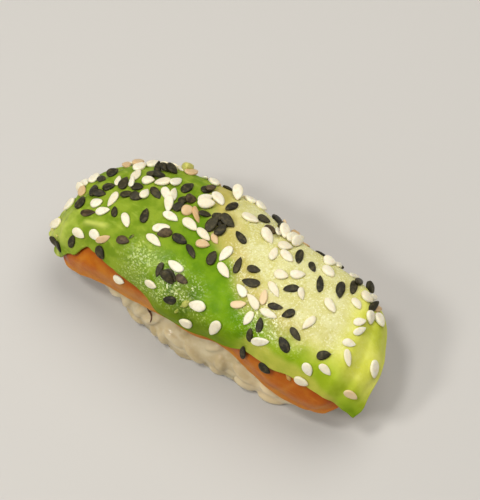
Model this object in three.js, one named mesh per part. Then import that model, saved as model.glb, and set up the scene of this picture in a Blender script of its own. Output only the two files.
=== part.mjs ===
// Salmon and avocado nigiri: a pressed block of rice, a slice of salmon
// draped over it, and one long slice of avocado draped over the salmon.
// Millimetres, +Z up, +X along the length. The rice stands on z = 0.
//
// Each layer is laid on one drape surface: a crest line (the spine) that runs
// along X and droops at both ends, and a cross-section that rolls from flat at
// the crest to steep at the sides. A point of the food is given by
//   a  distance along the spine from the middle (+ is +X),
//   b  distance over the section from the crest (+ is +Y),
//   h  height above the rice, square to the surface.

import * as THREE from 'three';
import { mergeVertices } from 'three/addons/utils/BufferGeometryUtils.js';

// ---------------------------------------------------------------- sizes (mm)
const GAP = 0.3; // between touching layers

const CREST_HEIGHT = 15.6; // top of the rice
const SHOULDER_NEAR = 62; // degrees the section turns through on the -Y side
const SHOULDER_FAR = 66; // and on the +Y side
const SHOULDER_REACH = 8.0;
const SHOULDER_POWER = 2.2;
const SIDE_TURN = 24; // further turn down the sides, degrees
const SIDE_FROM = 12.0;
const SIDE_TO = 22.0;
const DROOP_RIGHT = 17; // degrees the spine has turned down at DROOP_REACH
const DROOP_LEFT = 13;
const DROOP_REACH = 28.0;
const DROOP_POWER = 2.6;
const FAR_SWELL = 2.3; // the far shoulder stands out this much more
const FAR_SWELL_AT = -13; // around this place along the spine,
const FAR_SWELL_REACH = 13.5; // this far to either side of it

const SALMON_THICK = 4.0;
const AVOCADO_THICK = 3.0;
const SALMON_EDGE = 0.6; // how thick the slices still are at their borders,
const AVOCADO_EDGE = 0.35; // as a share of the middle
const EDGE_TAPER = 3.2; // width of the border that thins out
const SALMON_BULGE = 0.25; // how far the cut edges round out, as a share of
const AVOCADO_BULGE = 0.42; // the thickness there

// rice block
const RICE_TOP_HALF = [24.6, 12.4]; // reach of the domed top, along a and b
const RICE_BASE_HALF = [24.2, 12.3]; // half length and half width at z = 0
const RICE_BASE_SHIFT = [-1.2, -0.6];
const RICE_BELLY = 1.3; // how far the wall bulges past the base
const RICE_CORNER = 3.0; // superellipse power of its outline
const GRAIN_LUMP = 0.42; // depth of the grain relief

// outlines of the slices: how far each side hangs from the crest, along the
// spine, and where each end is cut, from the near corner to the far corner
const SALMON_OUTLINE = {
  near: { at: [-38, -36, -33, -28, -18, -8, -3, 1.5, 6, 10, 15, 20, 23.5, 27, 29], v: [10.4, 11.8, 12.4, 12.4, 12.8, 12.7, 13.1, 11.8, 12.2, 13.8, 15.3, 15.5, 14.8, 12.6, 10.5] },
  far: { at: [-36, -20, 0, 18, 29], v: [9.9, 13.0, 14.2, 13.4, 10.9] },
  left: { at: [-1, -0.85, -0.6, 0, 1], v: [-36.0, -37.1, -37.0, -35.4, -32.3] },
  right: { at: [-1, -0.85, -0.6, 0, 1], v: [26.8, 27.8, 28.0, 26.8, 21.8] },
};
const AVOCADO_OUTLINE = {
  near: { at: [-38, -34.5, -31.8, -29, -26.5, -23.2, -19, -14, -12.4, -10.8, -8, -3, 1.5, 5.5, 7.8, 9.8, 14, 18, 24, 31], v: [10.1, 9.4, 8.2, 7.0, 6.9, 7.7, 8.4, 9.0, 9.6, 10.9, 11.4, 11.2, 10.8, 9.9, 9.1, 9.1, 9.4, 8.9, 9.1, 9.4] },
  far: { at: [-38, -31, -22, -8, 2, 14, 22, 27, 31], v: [9.6, 10.2, 10.8, 11.3, 10.4, 9.2, 8.0, 6.8, 5.2] },
  left: { at: [-1, -0.85, -0.6, -0.42, -0.28, -0.05, 0.3, 0.6, 1], v: [-37.8, -39.1, -39.8, -38.6, -39.0, -38.6, -38.8, -38.6, -36.8] },
  right: { at: [-1, -0.75, -0.35, 0, 0.45, 0.75, 1], v: [32.7, 32.2, 31.3, 30.3, 28.8, 27.4, 25.2] },
};

// ------------------------------------------------------------------- helpers
const rad = (d) => (d * Math.PI) / 180;
const clamp = (x, a, b) => Math.min(Math.max(x, a), b);
const smooth = (a, b, x) => {
  const t = clamp((x - a) / (b - a), 0, 1);
  return t * t * (3 - 2 * t);
};

// smooth curve through a few named sizes (cubic Hermite), level past its ends
function profile({ at, v }, x) {
  const n = at.length - 1;
  const t0 = clamp(x, at[0], at[n]);
  let i = 0;
  while (i < n - 1 && t0 >= at[i + 1]) i++;
  const h = (k) => at[k + 1] - at[k];
  const d = (k) => (v[k + 1] - v[k]) / h(k);
  const slope = (k) => {
    if (k === 0) return d(0);
    if (k === n) return d(n - 1);
    return (d(k - 1) * h(k) + d(k) * h(k - 1)) / (h(k) + h(k - 1));
  };
  const t = (t0 - at[i]) / h(i);
  return (1 + 2 * t) * (1 - t) ** 2 * v[i] + t * (1 - t) ** 2 * h(i) * slope(i)
    + t * t * (3 - 2 * t) * v[i + 1] + t * t * (t - 1) * h(i) * slope(i + 1);
}

// plane curve given by how far it has turned down after a length s
const STEP = 0.1;
function turningCurve(angle, length) {
  const n = Math.ceil(length / STEP) + 1;
  const f = [], out = [0], down = [0];
  for (let i = 0; i < n; i++) f.push(angle(i * STEP));
  for (let i = 1; i < n; i++) {
    out.push(out[i - 1] + ((Math.cos(f[i]) + Math.cos(f[i - 1])) / 2) * STEP);
    down.push(down[i - 1] - ((Math.sin(f[i]) + Math.sin(f[i - 1])) / 2) * STEP);
  }
  return (s) => {
    const x = clamp(s / STEP, 0, n - 1);
    const i = Math.min(Math.floor(x), n - 2), t = x - i;
    const mix = (arr) => arr[i] + (arr[i + 1] - arr[i]) * t;
    return [mix(out), mix(down), mix(f)];
  };
}

const shoulder = (turn) => (s) =>
  rad(turn) * (1 - Math.exp(-((s / SHOULDER_REACH) ** SHOULDER_POWER)))
  + rad(SIDE_TURN) * smooth(SIDE_FROM, SIDE_TO, s);
const droop = (turn) => (s) => rad(turn) * clamp(s / DROOP_REACH, 0, 2) ** DROOP_POWER;
const sectionNear = turningCurve(shoulder(SHOULDER_NEAR), 45);
const sectionFar = turningCurve(shoulder(SHOULDER_FAR), 45);
const spineRight = turningCurve(droop(DROOP_RIGHT), 60);
const spineLeft = turningCurve(droop(DROOP_LEFT), 60);

// the drape surface
function drape(a, b, h) {
  const [oy, oz, of] = (b < 0 ? sectionNear : sectionFar)(Math.abs(b));
  const sb = b < 0 ? -1 : 1;
  const swell = b < 0 ? 0 : FAR_SWELL * Math.exp(-(Math.abs((a - FAR_SWELL_AT) / FAR_SWELL_REACH) ** 4))
    * smooth(0, 8.5, b) * (1 - 0.35 * smooth(9, 15, b));
  const y = sb * (oy + h * Math.sin(of)) + swell;
  const z = oz + h * Math.cos(of);
  const [sx, sz, sf] = (a > 0 ? spineRight : spineLeft)(Math.abs(a));
  const sa = a > 0 ? 1 : -1;
  return new THREE.Vector3(sa * sx + sa * Math.sin(sf) * z, y, CREST_HEIGHT + sz + Math.cos(sf) * z);
}

// closed mesh from points and faces, with shared vertices merged
function solid(points, faces) {
  const g = new THREE.BufferGeometry();
  const pos = [];
  for (const f of faces) for (const k of f) pos.push(points[k].x, points[k].y, points[k].z);
  g.setAttribute('position', new THREE.Float32BufferAttribute(pos, 3));
  const m = mergeVertices(g, 1e-4);
  m.computeVertexNormals();
  return m;
}
const quad = (faces, a, b, c, d) => faces.push([a, b, c], [a, c, d]);

// ---------------------------------------------------------------- the slices
// share of the full thickness left at a place: 1 inside, the edge share at the
// outline itself
function border({ near, far, left, right }, edge, a, b) {
  const side = profile(b < 0 ? near : far, a);
  const q = b / side;
  const l = profile(left, q), r = profile(right, q);
  const along = Math.min(a - l, r - a), across = (1 - Math.abs(q)) * side;
  return edge + (1 - edge) * smooth(0, EDGE_TAPER, along) * smooth(0, EDGE_TAPER, across);
}
const salmonThickness = (a, b) => border(SALMON_OUTLINE, SALMON_EDGE, a, b)
  * SALMON_THICK * (1 - 0.42 * clamp(Math.abs(b) / 14.5, 0, 1) ** 4) * (1 - 0.3 * clamp(Math.abs(a + 3) / 34, 0, 1) ** 6);
const avocadoThickness = (a, b) => border(AVOCADO_OUTLINE, AVOCADO_EDGE, a, b)
  * AVOCADO_THICK * (1 - 0.35 * clamp(Math.abs(b) / 11.5, 0, 1) ** 3) * (1 - 0.3 * clamp(Math.abs(a + 3) / 34, 0, 1) ** 6);
const salmonFloor = () => GAP;
const avocadoFloor = (a, b) => 2 * GAP + salmonThickness(a, b);

// a draped slice: top sheet, bottom sheet and a rounded rim between them
function slice({ near, far, left, right }, { floor, thickness, bulge, nu, nv, rim }) {
  const place = (p, q) => {
    const l = profile(left, q), r = profile(right, q);
    const a = (l + r) / 2 + ((r - l) / 2) * p;
    return [a, q < 0 ? profile(near, a) * q : profile(far, a) * q];
  };
  const grid = [];
  for (let i = 0; i <= nu; i++) {
    for (let j = 0; j <= nv; j++) {
      const s = -1 + (2 * i) / nu, t = -1 + (2 * j) / nv;
      grid.push(place(s * (1.25 - 0.25 * s * s), t * (1.15 - 0.15 * t * t)));
    }
  }
  const id = (i, j) => i * (nv + 1) + j;
  const N = grid.length;
  const points = [], faces = [];
  const at = ([a, b], w, out = [0, 0]) => {
    const th = thickness(a, b);
    return drape(a + out[0], b + out[1], floor(a, b) + th * w);
  };
  for (const g of grid) points.push(at(g, 1));
  for (const g of grid) points.push(at(g, 0));
  for (let i = 0; i < nu; i++) {
    for (let j = 0; j < nv; j++) {
      quad(faces, id(i, j), id(i + 1, j), id(i + 1, j + 1), id(i, j + 1));
      quad(faces, N + id(i, j), N + id(i, j + 1), N + id(i + 1, j + 1), N + id(i + 1, j));
    }
  }
  const loop = [];
  for (let i = 0; i < nu; i++) loop.push(id(i, 0));
  for (let j = 0; j < nv; j++) loop.push(id(nu, j));
  for (let i = nu; i > 0; i--) loop.push(id(i, nv));
  for (let j = nv; j > 0; j--) loop.push(id(0, j));
  const L = loop.length;
  const outward = loop.map((_, k) => {
    const p = grid[loop[(k + L - 1) % L]], n = grid[loop[(k + 1) % L]];
    const d = [n[1] - p[1], p[0] - n[0]];
    const m = Math.hypot(d[0], d[1]);
    return [d[0] / m, d[1] / m];
  });
  let above = loop.slice();
  for (let k = 1; k <= rim; k++) {
    const f = (Math.PI * k) / rim;
    const below = k === rim ? loop.map((v) => v + N) : loop.map((v, m) => {
      const th = thickness(...grid[v]);
      const e = bulge * th * Math.sin(f);
      points.push(at(grid[v], (1 + Math.cos(f)) / 2, [outward[m][0] * e, outward[m][1] * e]));
      return points.length - 1;
    });
    for (let m = 0; m < L; m++) {
      const n = (m + 1) % L;
      quad(faces, above[m], below[m], below[n], above[n]);
    }
    above = below;
  }
  return solid(points, faces);
}

const salmonGeometry = slice(SALMON_OUTLINE, { floor: salmonFloor, thickness: salmonThickness, bulge: SALMON_BULGE, nu: 34, nv: 18, rim: 4 });
const avocadoGeometry = slice(AVOCADO_OUTLINE, { floor: avocadoFloor, thickness: avocadoThickness, bulge: AVOCADO_BULGE, nu: 42, nv: 18, rim: 4 });

// ------------------------------------------------------------------ the rice
// a domed top under the salmon, a wall of pressed grains, and a flat base
function rice(around, topRings, wallRings) {
  const ring = (k, f) => {
    const c = Math.cos(f), s = Math.sin(f);
    const r = 1 / (Math.abs(c) ** RICE_CORNER + Math.abs(s) ** RICE_CORNER) ** (1 / RICE_CORNER);
    return [r * c * k, r * s * k];
  };
  const points = [drape(0, 0, 0)], faces = [], rows = [];
  const angle = (m) => (2 * Math.PI * m) / around;
  const top = (k, f) => {
    const [x, y] = ring(k, f);
    return drape(x * RICE_TOP_HALF[0] - 0.8, y * RICE_TOP_HALF[1], 0);
  };
  for (let i = 1; i <= topRings; i++) {
    const row = [];
    for (let m = 0; m < around; m++) {
      points.push(top(i / topRings, angle(m)));
      row.push(points.length - 1);
    }
    rows.push(row);
  }
  for (let i = 1; i <= wallRings; i++) {
    const t = i / wallRings, row = [];
    for (let m = 0; m < around; m++) {
      const f = angle(m);
      const p0 = top(1, f);
      const lean = top(1, f).sub(top(0.96, f)).normalize();
      const [bx, by] = ring(1, f);
      const out = new THREE.Vector3(bx / RICE_BASE_HALF[0], by / RICE_BASE_HALF[1], 0).normalize();
      const p3 = new THREE.Vector3(bx * RICE_BASE_HALF[0] + RICE_BASE_SHIFT[0], by * RICE_BASE_HALF[1] + RICE_BASE_SHIFT[1], 0);
      const p1 = p0.clone().addScaledVector(lean, 0.34 * p0.z);
      const p2 = p3.clone().addScaledVector(out, RICE_BELLY * 2);
      p2.z += 0.3 * p0.z;
      const p = new THREE.CubicBezierCurve3(p0, p1, p2, p3).getPoint(t);
      // grain relief: rows of lumps that fade out at the base and the top
      const lump = 0.5 + 0.5 * Math.sin(17 * f + 2.4 * Math.sin(0.75 * p.z + 2 * f)) * Math.cos(1.25 * p.z + 3 * Math.sin(5 * f));
      const fade = smooth(0, 0.15, t) * (1 - 0.55 * smooth(0.8, 1, t));
      p.addScaledVector(out, -GRAIN_LUMP * lump * fade);
      points.push(p);
      row.push(points.length - 1);
    }
    rows.push(row);
  }
  points.push(new THREE.Vector3(RICE_BASE_SHIFT[0], RICE_BASE_SHIFT[1], 0));
  const bottom = points.length - 1;
  for (let m = 0; m < around; m++) faces.push([0, rows[0][m], rows[0][(m + 1) % around]]);
  for (let i = 0; i + 1 < rows.length; i++) {
    for (let m = 0; m < around; m++) {
      const n = (m + 1) % around;
      quad(faces, rows[i][m], rows[i + 1][m], rows[i + 1][n], rows[i][n]);
    }
  }
  const last = rows[rows.length - 1];
  for (let m = 0; m < around; m++) faces.push([bottom, last[(m + 1) % around], last[m]]);
  return solid(points, faces);
}

// ------------------------------------------------------------------ assembly
function piece(name, geometry, color, roughness) {
  const mesh = new THREE.Mesh(geometry, new THREE.MeshStandardMaterial({ color, roughness, metalness: 0 }));
  mesh.name = name;
  return mesh;
}

const nigiri = new THREE.Group();
nigiri.name = 'salmon_avocado_nigiri';
nigiri.add(piece('rice', rice(72, 7, 11), 0xd9cdac, 0.45));
nigiri.add(piece('salmon', salmonGeometry, 0xc8713a, 0.32));
nigiri.add(piece('avocado', avocadoGeometry, 0xa3bf3c, 0.36));

export default nigiri;
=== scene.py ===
import bpy, math
import numpy as np
from mathutils import Matrix, Vector
from mathutils.bvhtree import BVHTree
from mathutils.kdtree import KDTree


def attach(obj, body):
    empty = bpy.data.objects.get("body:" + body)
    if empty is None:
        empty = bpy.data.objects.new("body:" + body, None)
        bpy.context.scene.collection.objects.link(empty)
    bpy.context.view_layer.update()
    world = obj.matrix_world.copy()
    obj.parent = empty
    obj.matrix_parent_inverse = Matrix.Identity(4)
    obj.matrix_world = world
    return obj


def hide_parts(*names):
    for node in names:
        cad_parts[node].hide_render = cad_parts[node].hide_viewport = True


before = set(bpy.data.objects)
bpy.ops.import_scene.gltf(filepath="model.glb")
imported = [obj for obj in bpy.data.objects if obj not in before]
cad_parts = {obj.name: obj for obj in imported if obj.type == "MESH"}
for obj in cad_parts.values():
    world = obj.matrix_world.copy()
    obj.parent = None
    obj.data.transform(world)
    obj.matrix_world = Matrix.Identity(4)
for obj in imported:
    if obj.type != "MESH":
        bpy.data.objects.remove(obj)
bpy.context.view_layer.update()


MM = 0.001

# =====================================================================
# The drape surface: the same sizes and functions as the CAD solids, in mm
# =====================================================================
GAP = 0.3
CREST_HEIGHT = 15.6
SHOULDER_NEAR, SHOULDER_FAR = 62.0, 66.0
SHOULDER_REACH, SHOULDER_POWER = 8.0, 2.2
SIDE_TURN, SIDE_FROM, SIDE_TO = 24.0, 12.0, 22.0
DROOP_RIGHT, DROOP_LEFT, DROOP_REACH, DROOP_POWER = 17.0, 13.0, 28.0, 2.6
FAR_SWELL, FAR_SWELL_AT, FAR_SWELL_REACH = 2.3, -13.0, 13.5
SALMON_THICK, AVOCADO_THICK = 4.0, 3.0
SALMON_EDGE, AVOCADO_EDGE = 0.6, 0.35
EDGE_TAPER = 3.2
SALMON_BULGE, AVOCADO_BULGE = 0.25, 0.42
RICE_TOP_HALF = (24.6, 12.4)
RICE_BASE_HALF = (24.2, 12.3)
RICE_BASE_SHIFT = (-1.2, -0.6)
RICE_BELLY = 1.3
RICE_CORNER = 3.0

SALMON_OUTLINE = {
    "near": ([-38, -36, -33, -28, -18, -8, -3, 1.5, 6, 10, 15, 20, 23.5, 27, 29],
             [10.4, 11.8, 12.4, 12.4, 12.8, 12.7, 13.1, 11.8, 12.2, 13.8, 15.3, 15.5, 14.8, 12.6, 10.5]),
    "far": ([-36, -20, 0, 18, 29], [9.9, 13.0, 14.2, 13.4, 10.9]),
    "left": ([-1, -0.85, -0.6, 0, 1], [-36.0, -37.1, -37.0, -35.4, -32.3]),
    "right": ([-1, -0.85, -0.6, 0, 1], [26.8, 27.8, 28.0, 26.8, 21.8]),
}
AVOCADO_OUTLINE = {
    "near": ([-38, -34.5, -31.8, -29, -26.5, -23.2, -19, -14, -12.4, -10.8, -8, -3, 1.5, 5.5, 7.8, 9.8, 14, 18, 24, 31],
             [10.1, 9.4, 8.2, 7.0, 6.9, 7.7, 8.4, 9.0, 9.6, 10.9, 11.4, 11.2, 10.8, 9.9, 9.1, 9.1, 9.4, 8.9, 9.1, 9.4]),
    "far": ([-38, -31, -22, -8, 2, 14, 22, 27, 31], [9.6, 10.2, 10.8, 11.3, 10.4, 9.2, 8.0, 6.8, 5.2]),
    "left": ([-1, -0.85, -0.6, -0.42, -0.28, -0.05, 0.3, 0.6, 1],
             [-37.8, -39.1, -39.8, -38.6, -39.0, -38.6, -38.8, -38.6, -36.8]),
    "right": ([-1, -0.75, -0.35, 0, 0.45, 0.75, 1], [32.7, 32.2, 31.3, 30.3, 28.8, 27.4, 25.2]),
}


def smooth(a, b, x):
    t = np.clip((np.asarray(x, float) - a) / (b - a), 0, 1)
    return t * t * (3 - 2 * t)


def profile(kv, x):
    """Smooth curve through a few named sizes, level past its ends."""
    kx, kv = np.asarray(kv[0], float), np.asarray(kv[1], float)
    x = np.clip(np.asarray(x, float), kx[0], kx[-1])
    h = np.diff(kx)
    d = np.diff(kv) / h
    m = np.concatenate([[d[0]], (d[:-1] * h[1:] + d[1:] * h[:-1]) / (h[1:] + h[:-1]), [d[-1]]])
    i = np.clip(np.searchsorted(kx, x, side="right") - 1, 0, len(h) - 1)
    t = (x - kx[i]) / h[i]
    return ((1 + 2 * t) * (1 - t) ** 2 * kv[i] + t * (1 - t) ** 2 * h[i] * m[i]
            + t * t * (3 - 2 * t) * kv[i + 1] + t * t * (t - 1) * h[i] * m[i + 1])


class Turning:
    """Plane curve given by how far it has turned down after a length s."""
    STEP = 0.1

    def __init__(self, angle, length):
        self.s = np.arange(0, length + self.STEP, self.STEP)
        self.f = angle(self.s)
        c, q = np.cos(self.f), np.sin(self.f)
        self.out = np.concatenate([[0], np.cumsum((c[1:] + c[:-1]) / 2 * self.STEP)])
        self.down = -np.concatenate([[0], np.cumsum((q[1:] + q[:-1]) / 2 * self.STEP)])

    def at(self, s):
        return np.interp(s, self.s, self.out), np.interp(s, self.s, self.down), np.interp(s, self.s, self.f)


def shoulder(turn):
    return lambda s: (math.radians(turn) * (1 - np.exp(-((s / SHOULDER_REACH) ** SHOULDER_POWER)))
                      + math.radians(SIDE_TURN) * smooth(SIDE_FROM, SIDE_TO, s))


def droop(turn):
    return lambda s: math.radians(turn) * np.clip(s / DROOP_REACH, 0, 2) ** DROOP_POWER


NEAR, FAR = Turning(shoulder(SHOULDER_NEAR), 45), Turning(shoulder(SHOULDER_FAR), 45)
RIGHT, LEFT = Turning(droop(DROOP_RIGHT), 60), Turning(droop(DROOP_LEFT), 60)


def drape(a, b, h):
    a, b, h = np.broadcast_arrays(np.asarray(a, float), np.asarray(b, float), np.asarray(h, float))
    yn, zn, fn = NEAR.at(np.abs(b))
    yf, zf, ff = FAR.at(np.abs(b))
    near = b < 0
    y = np.where(near, -yn, yf)
    z = np.where(near, zn, zf)
    f = np.where(near, -fn, ff)
    y = y + h * np.sin(f)
    y = y + (FAR_SWELL * np.exp(-np.abs((a - FAR_SWELL_AT) / FAR_SWELL_REACH) ** 4) * smooth(0, 8.5, b)
             * (1 - 0.35 * smooth(9, 15, b)))
    z = z + h * np.cos(f)
    xr, zr, tr = RIGHT.at(np.abs(a))
    xl, zl, tl = LEFT.at(np.abs(a))
    pos = a > 0
    X = np.where(pos, xr, -xl)
    Z = np.where(pos, zr, zl)
    th = np.where(pos, -tr, tl)
    return np.stack([X - np.sin(th) * z, y, CREST_HEIGHT + Z + np.cos(th) * z], -1)


def inside(ol, a, b):
    """How far a place lies in from the sides and from the left and right ends of a slice, in mm."""
    side = np.where(b < 0, profile(ol["near"], a), profile(ol["far"], a))
    q = b / side
    return (1 - np.abs(q)) * side, a - profile(ol["left"], q), profile(ol["right"], q) - a


def border(ol, edge, a, b):
    across, al, ar = inside(ol, a, b)
    return edge + (1 - edge) * smooth(0, EDGE_TAPER, np.minimum(al, ar)) * smooth(0, EDGE_TAPER, across)


def salmon_thickness(a, b):
    return (border(SALMON_OUTLINE, SALMON_EDGE, a, b) * SALMON_THICK * (1 - 0.42 * np.clip(np.abs(b) / 14.5, 0, 1) ** 4)
            * (1 - 0.3 * np.clip(np.abs(a + 3) / 34, 0, 1) ** 6))


def cut_face(x, wide, k=0.16):
    """A knife cut as a flat bevel with a narrow round shoulder, instead of the CAD solid's soft one."""
    x = np.clip(x, 0, None) / wide
    h = np.clip(0.5 + 0.5 * (1 - x) / k, 0, 1)
    return 1 + (x - 1) * h - k * h * (1 - h)


def avocado_thickness(a, b):
    across, al, ar = inside(AVOCADO_OUTLINE, a, b)
    e = AVOCADO_EDGE
    f = e + (1 - e) * np.clip(cut_face(ar, 2.0, 0.75), 0, 1) * np.clip(cut_face(across, 2.5), 0, 1) * smooth(0, 3.0, al)
    return (f * AVOCADO_THICK * (1 - 0.35 * np.clip(np.abs(b) / 11.5, 0, 1) ** 3)
            * (1 - 0.3 * np.clip(np.abs(a + 3) / 34, 0, 1) ** 6))


# ---------------------------------------------------------------------
# smooth seeded noise for mesh relief (value noise on a lattice)
# ---------------------------------------------------------------------
def hash01(ix, iy, iz, seed):
    n = (ix.astype(np.int64) * 374761393 + iy.astype(np.int64) * 668265263 + iz.astype(np.int64) * 2147483647
         + np.int64(seed) * 974634777)
    n = (n ^ (n >> 13)) * np.int64(1274126177)
    n = n ^ (n >> 16)
    return (n & 0xFFFFFF).astype(float) / float(0xFFFFFF)


def value_noise(p, scale, seed):
    """p is (..., 3) in mm; scale is the lattice size in mm. Returns -1..1."""
    q = np.asarray(p, float) / scale + 1000.0
    i = np.floor(q)
    f = q - i
    f = f * f * (3 - 2 * f)
    i = i.astype(np.int64)
    out = 0
    for dx in (0, 1):
        for dy in (0, 1):
            for dz in (0, 1):
                w = ((f[..., 0] if dx else 1 - f[..., 0]) * (f[..., 1] if dy else 1 - f[..., 1])
                     * (f[..., 2] if dz else 1 - f[..., 2]))
                out = out + w * hash01(i[..., 0] + dx, i[..., 1] + dy, i[..., 2] + dz, seed)
    return out * 2 - 1


def fractal(p, scale, seed, octaves=3):
    out, amp, tot = 0, 1.0, 0.0
    for k in range(octaves):
        out = out + amp * value_noise(p, scale / 2 ** k, seed + 17 * k)
        tot += amp
        amp *= 0.5
    return out / tot


# ---------------------------------------------------------------------
# meshes
# ---------------------------------------------------------------------
def make_mesh(name, verts, faces, smooth_shade=True):
    """verts in mm; faces is an (n, 3 or 4) array."""
    me = bpy.data.meshes.new(name)
    verts = np.asarray(verts, np.float32) * MM
    faces = np.asarray(faces, np.int32)
    k = faces.shape[1]
    me.vertices.add(len(verts))
    me.vertices.foreach_set("co", verts.ravel())
    me.loops.add(faces.size)
    me.loops.foreach_set("vertex_index", faces.ravel())
    me.polygons.add(len(faces))
    me.polygons.foreach_set("loop_start", np.arange(0, faces.size, k, dtype=np.int32))
    if smooth_shade:
        me.polygons.foreach_set("use_smooth", np.ones(len(faces), bool))
    me.update(calc_edges=True)
    me.validate()
    ob = bpy.data.objects.new(name, me)
    bpy.context.scene.collection.objects.link(ob)
    return ob


def set_float(ob, name, values):
    at = ob.data.attributes.new(name, "FLOAT", "POINT")
    at.data.foreach_set("value", np.asarray(values, np.float32))


def set_vector(ob, name, *values):
    at = ob.data.attributes.new(name, "FLOAT_VECTOR", "POINT")
    v = values[0] if len(values) == 1 else np.column_stack(values)
    at.data.foreach_set("vector", np.ascontiguousarray(v, np.float32).ravel())


def vertex_normals(v, f):
    n = np.zeros_like(v)
    if f.shape[1] == 4:
        fn = np.cross(v[f[:, 2]] - v[f[:, 0]], v[f[:, 3]] - v[f[:, 1]])
    else:
        fn = np.cross(v[f[:, 1]] - v[f[:, 0]], v[f[:, 2]] - v[f[:, 0]])
    for k in range(f.shape[1]):
        np.add.at(n, f[:, k], fn)
    return n / (np.linalg.norm(n, axis=1)[:, None] + 1e-12)


def slice_mesh(ol, floor, thickness, nu, nv, rim, edge_bulge, ragged):
    """A draped slice: top sheet, bottom sheet and a rounded rim between them.
    Returns vertices, quads, (a, b, w) for each vertex; w is 1 on top and 0 below."""
    s = -1 + 2 * np.arange(nu + 1) / nu
    t = -1 + 2 * np.arange(nv + 1) / nv
    s = s * (1.2 - 0.2 * s * s)
    t = t * (1.2 - 0.2 * t * t)
    S, T = np.meshgrid(s, t, indexing="ij")
    l, r = profile(ol["left"], T), profile(ol["right"], T)
    A = (l + r) / 2 + (r - l) / 2 * S
    B = np.where(T < 0, profile(ol["near"], A) * T, profile(ol["far"], A) * T)
    base = np.stack([A.ravel(), B.ravel()], -1)
    A, B = ragged(A, B, S, T)
    grid = np.stack([A.ravel(), B.ravel()], -1)
    N = len(grid)
    idx = np.arange(N).reshape(nu + 1, nv + 1)
    loop = np.concatenate([idx[:-1, 0], idx[-1, :-1], idx[:0:-1, -1], idx[0, :0:-1]])
    L = len(loop)
    rows = [(grid, np.ones(N), np.zeros(N)), (grid, np.zeros(N), np.zeros(N))]
    p, n = grid[np.roll(loop, 1)], grid[np.roll(loop, -1)]
    d = np.stack([n[:, 1] - p[:, 1], p[:, 0] - n[:, 0]], -1)
    d /= np.linalg.norm(d, axis=1)[:, None]
    for _ in range(3):
        d = d + np.roll(d, 1, 0) + np.roll(d, -1, 0)
        d /= np.linalg.norm(d, axis=1)[:, None]
    gl, bl = grid[loop], base[loop]
    th = thickness(bl[:, 0], bl[:, 1])
    faces = [np.stack([idx[:-1, :-1], idx[1:, :-1], idx[1:, 1:], idx[:-1, 1:]], -1).reshape(-1, 4),
             N + np.stack([idx[:-1, :-1], idx[:-1, 1:], idx[1:, 1:], idx[1:, :-1]], -1).reshape(-1, 4)]
    above, count = loop, 2 * N
    for k in range(1, rim + 1):
        f = math.pi * k / rim
        if k == rim:
            below = loop + N
        else:
            e = edge_bulge * th * math.sin(f)
            rows.append((gl + d * e[:, None], np.full(L, (1 + math.cos(f)) / 2), np.full(L, math.sin(f))))
            below = count + np.arange(L)
            count += L
        faces.append(np.stack([above, below, np.roll(below, -1), np.roll(above, -1)], -1))
        above = below
    ab = np.concatenate([r_[0] for r_ in rows])
    w = np.concatenate([r_[1] for r_ in rows])
    side = np.concatenate([r_[2] for r_ in rows])
    # thickness of a rim point is that of the boundary point it belongs to
    base_ab = np.concatenate([base, base] + [bl] * (rim - 1))
    tt = thickness(base_ab[:, 0], base_ab[:, 1])
    fl = floor(base_ab[:, 0], base_ab[:, 1])
    v = drape(ab[:, 0], ab[:, 1], fl + tt * w)
    return v, np.concatenate(faces), np.column_stack([ab, w]), side, base_ab


def unit_ellipsoid(nu=12, nv=8):
    """Unit sphere with its poles on the x axis."""
    v = [(-1, 0, 0)]
    for i in range(1, nv):
        f = math.pi * i / nv
        for k in range(nu):
            g = 2 * math.pi * (k + 0.5 * (i % 2)) / nu
            v.append((-math.cos(f), math.sin(f) * math.cos(g), math.sin(f) * math.sin(g)))
    v.append((1, 0, 0))
    t = []
    for k in range(nu):
        t.append((0, 1 + (k + 1) % nu, 1 + k))
        t.append((len(v) - 1, 1 + (nv - 2) * nu + k, 1 + (nv - 2) * nu + (k + 1) % nu))
    for i in range(nv - 2):
        for k in range(nu):
            a_, b_ = 1 + i * nu + k, 1 + i * nu + (k + 1) % nu
            c_, d_ = a_ + nu, b_ + nu
            t += [(a_, b_, d_), (a_, d_, c_)]
    return np.array(v, float), np.array(t, int)


def frame_of(normal, along):
    n = normal / np.linalg.norm(normal)
    x = along - n * (along @ n)
    x /= np.linalg.norm(x)
    return x, np.cross(n, x), n


def tree_of(pairs):
    vs, fs, o = [], [], 0
    for v, f in pairs:
        vs.append(v)
        fs.append(f + o)
        o += len(v)
    return BVHTree.FromPolygons(np.concatenate(vs).tolist(), [q for f in fs for q in f.tolist()])


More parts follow.
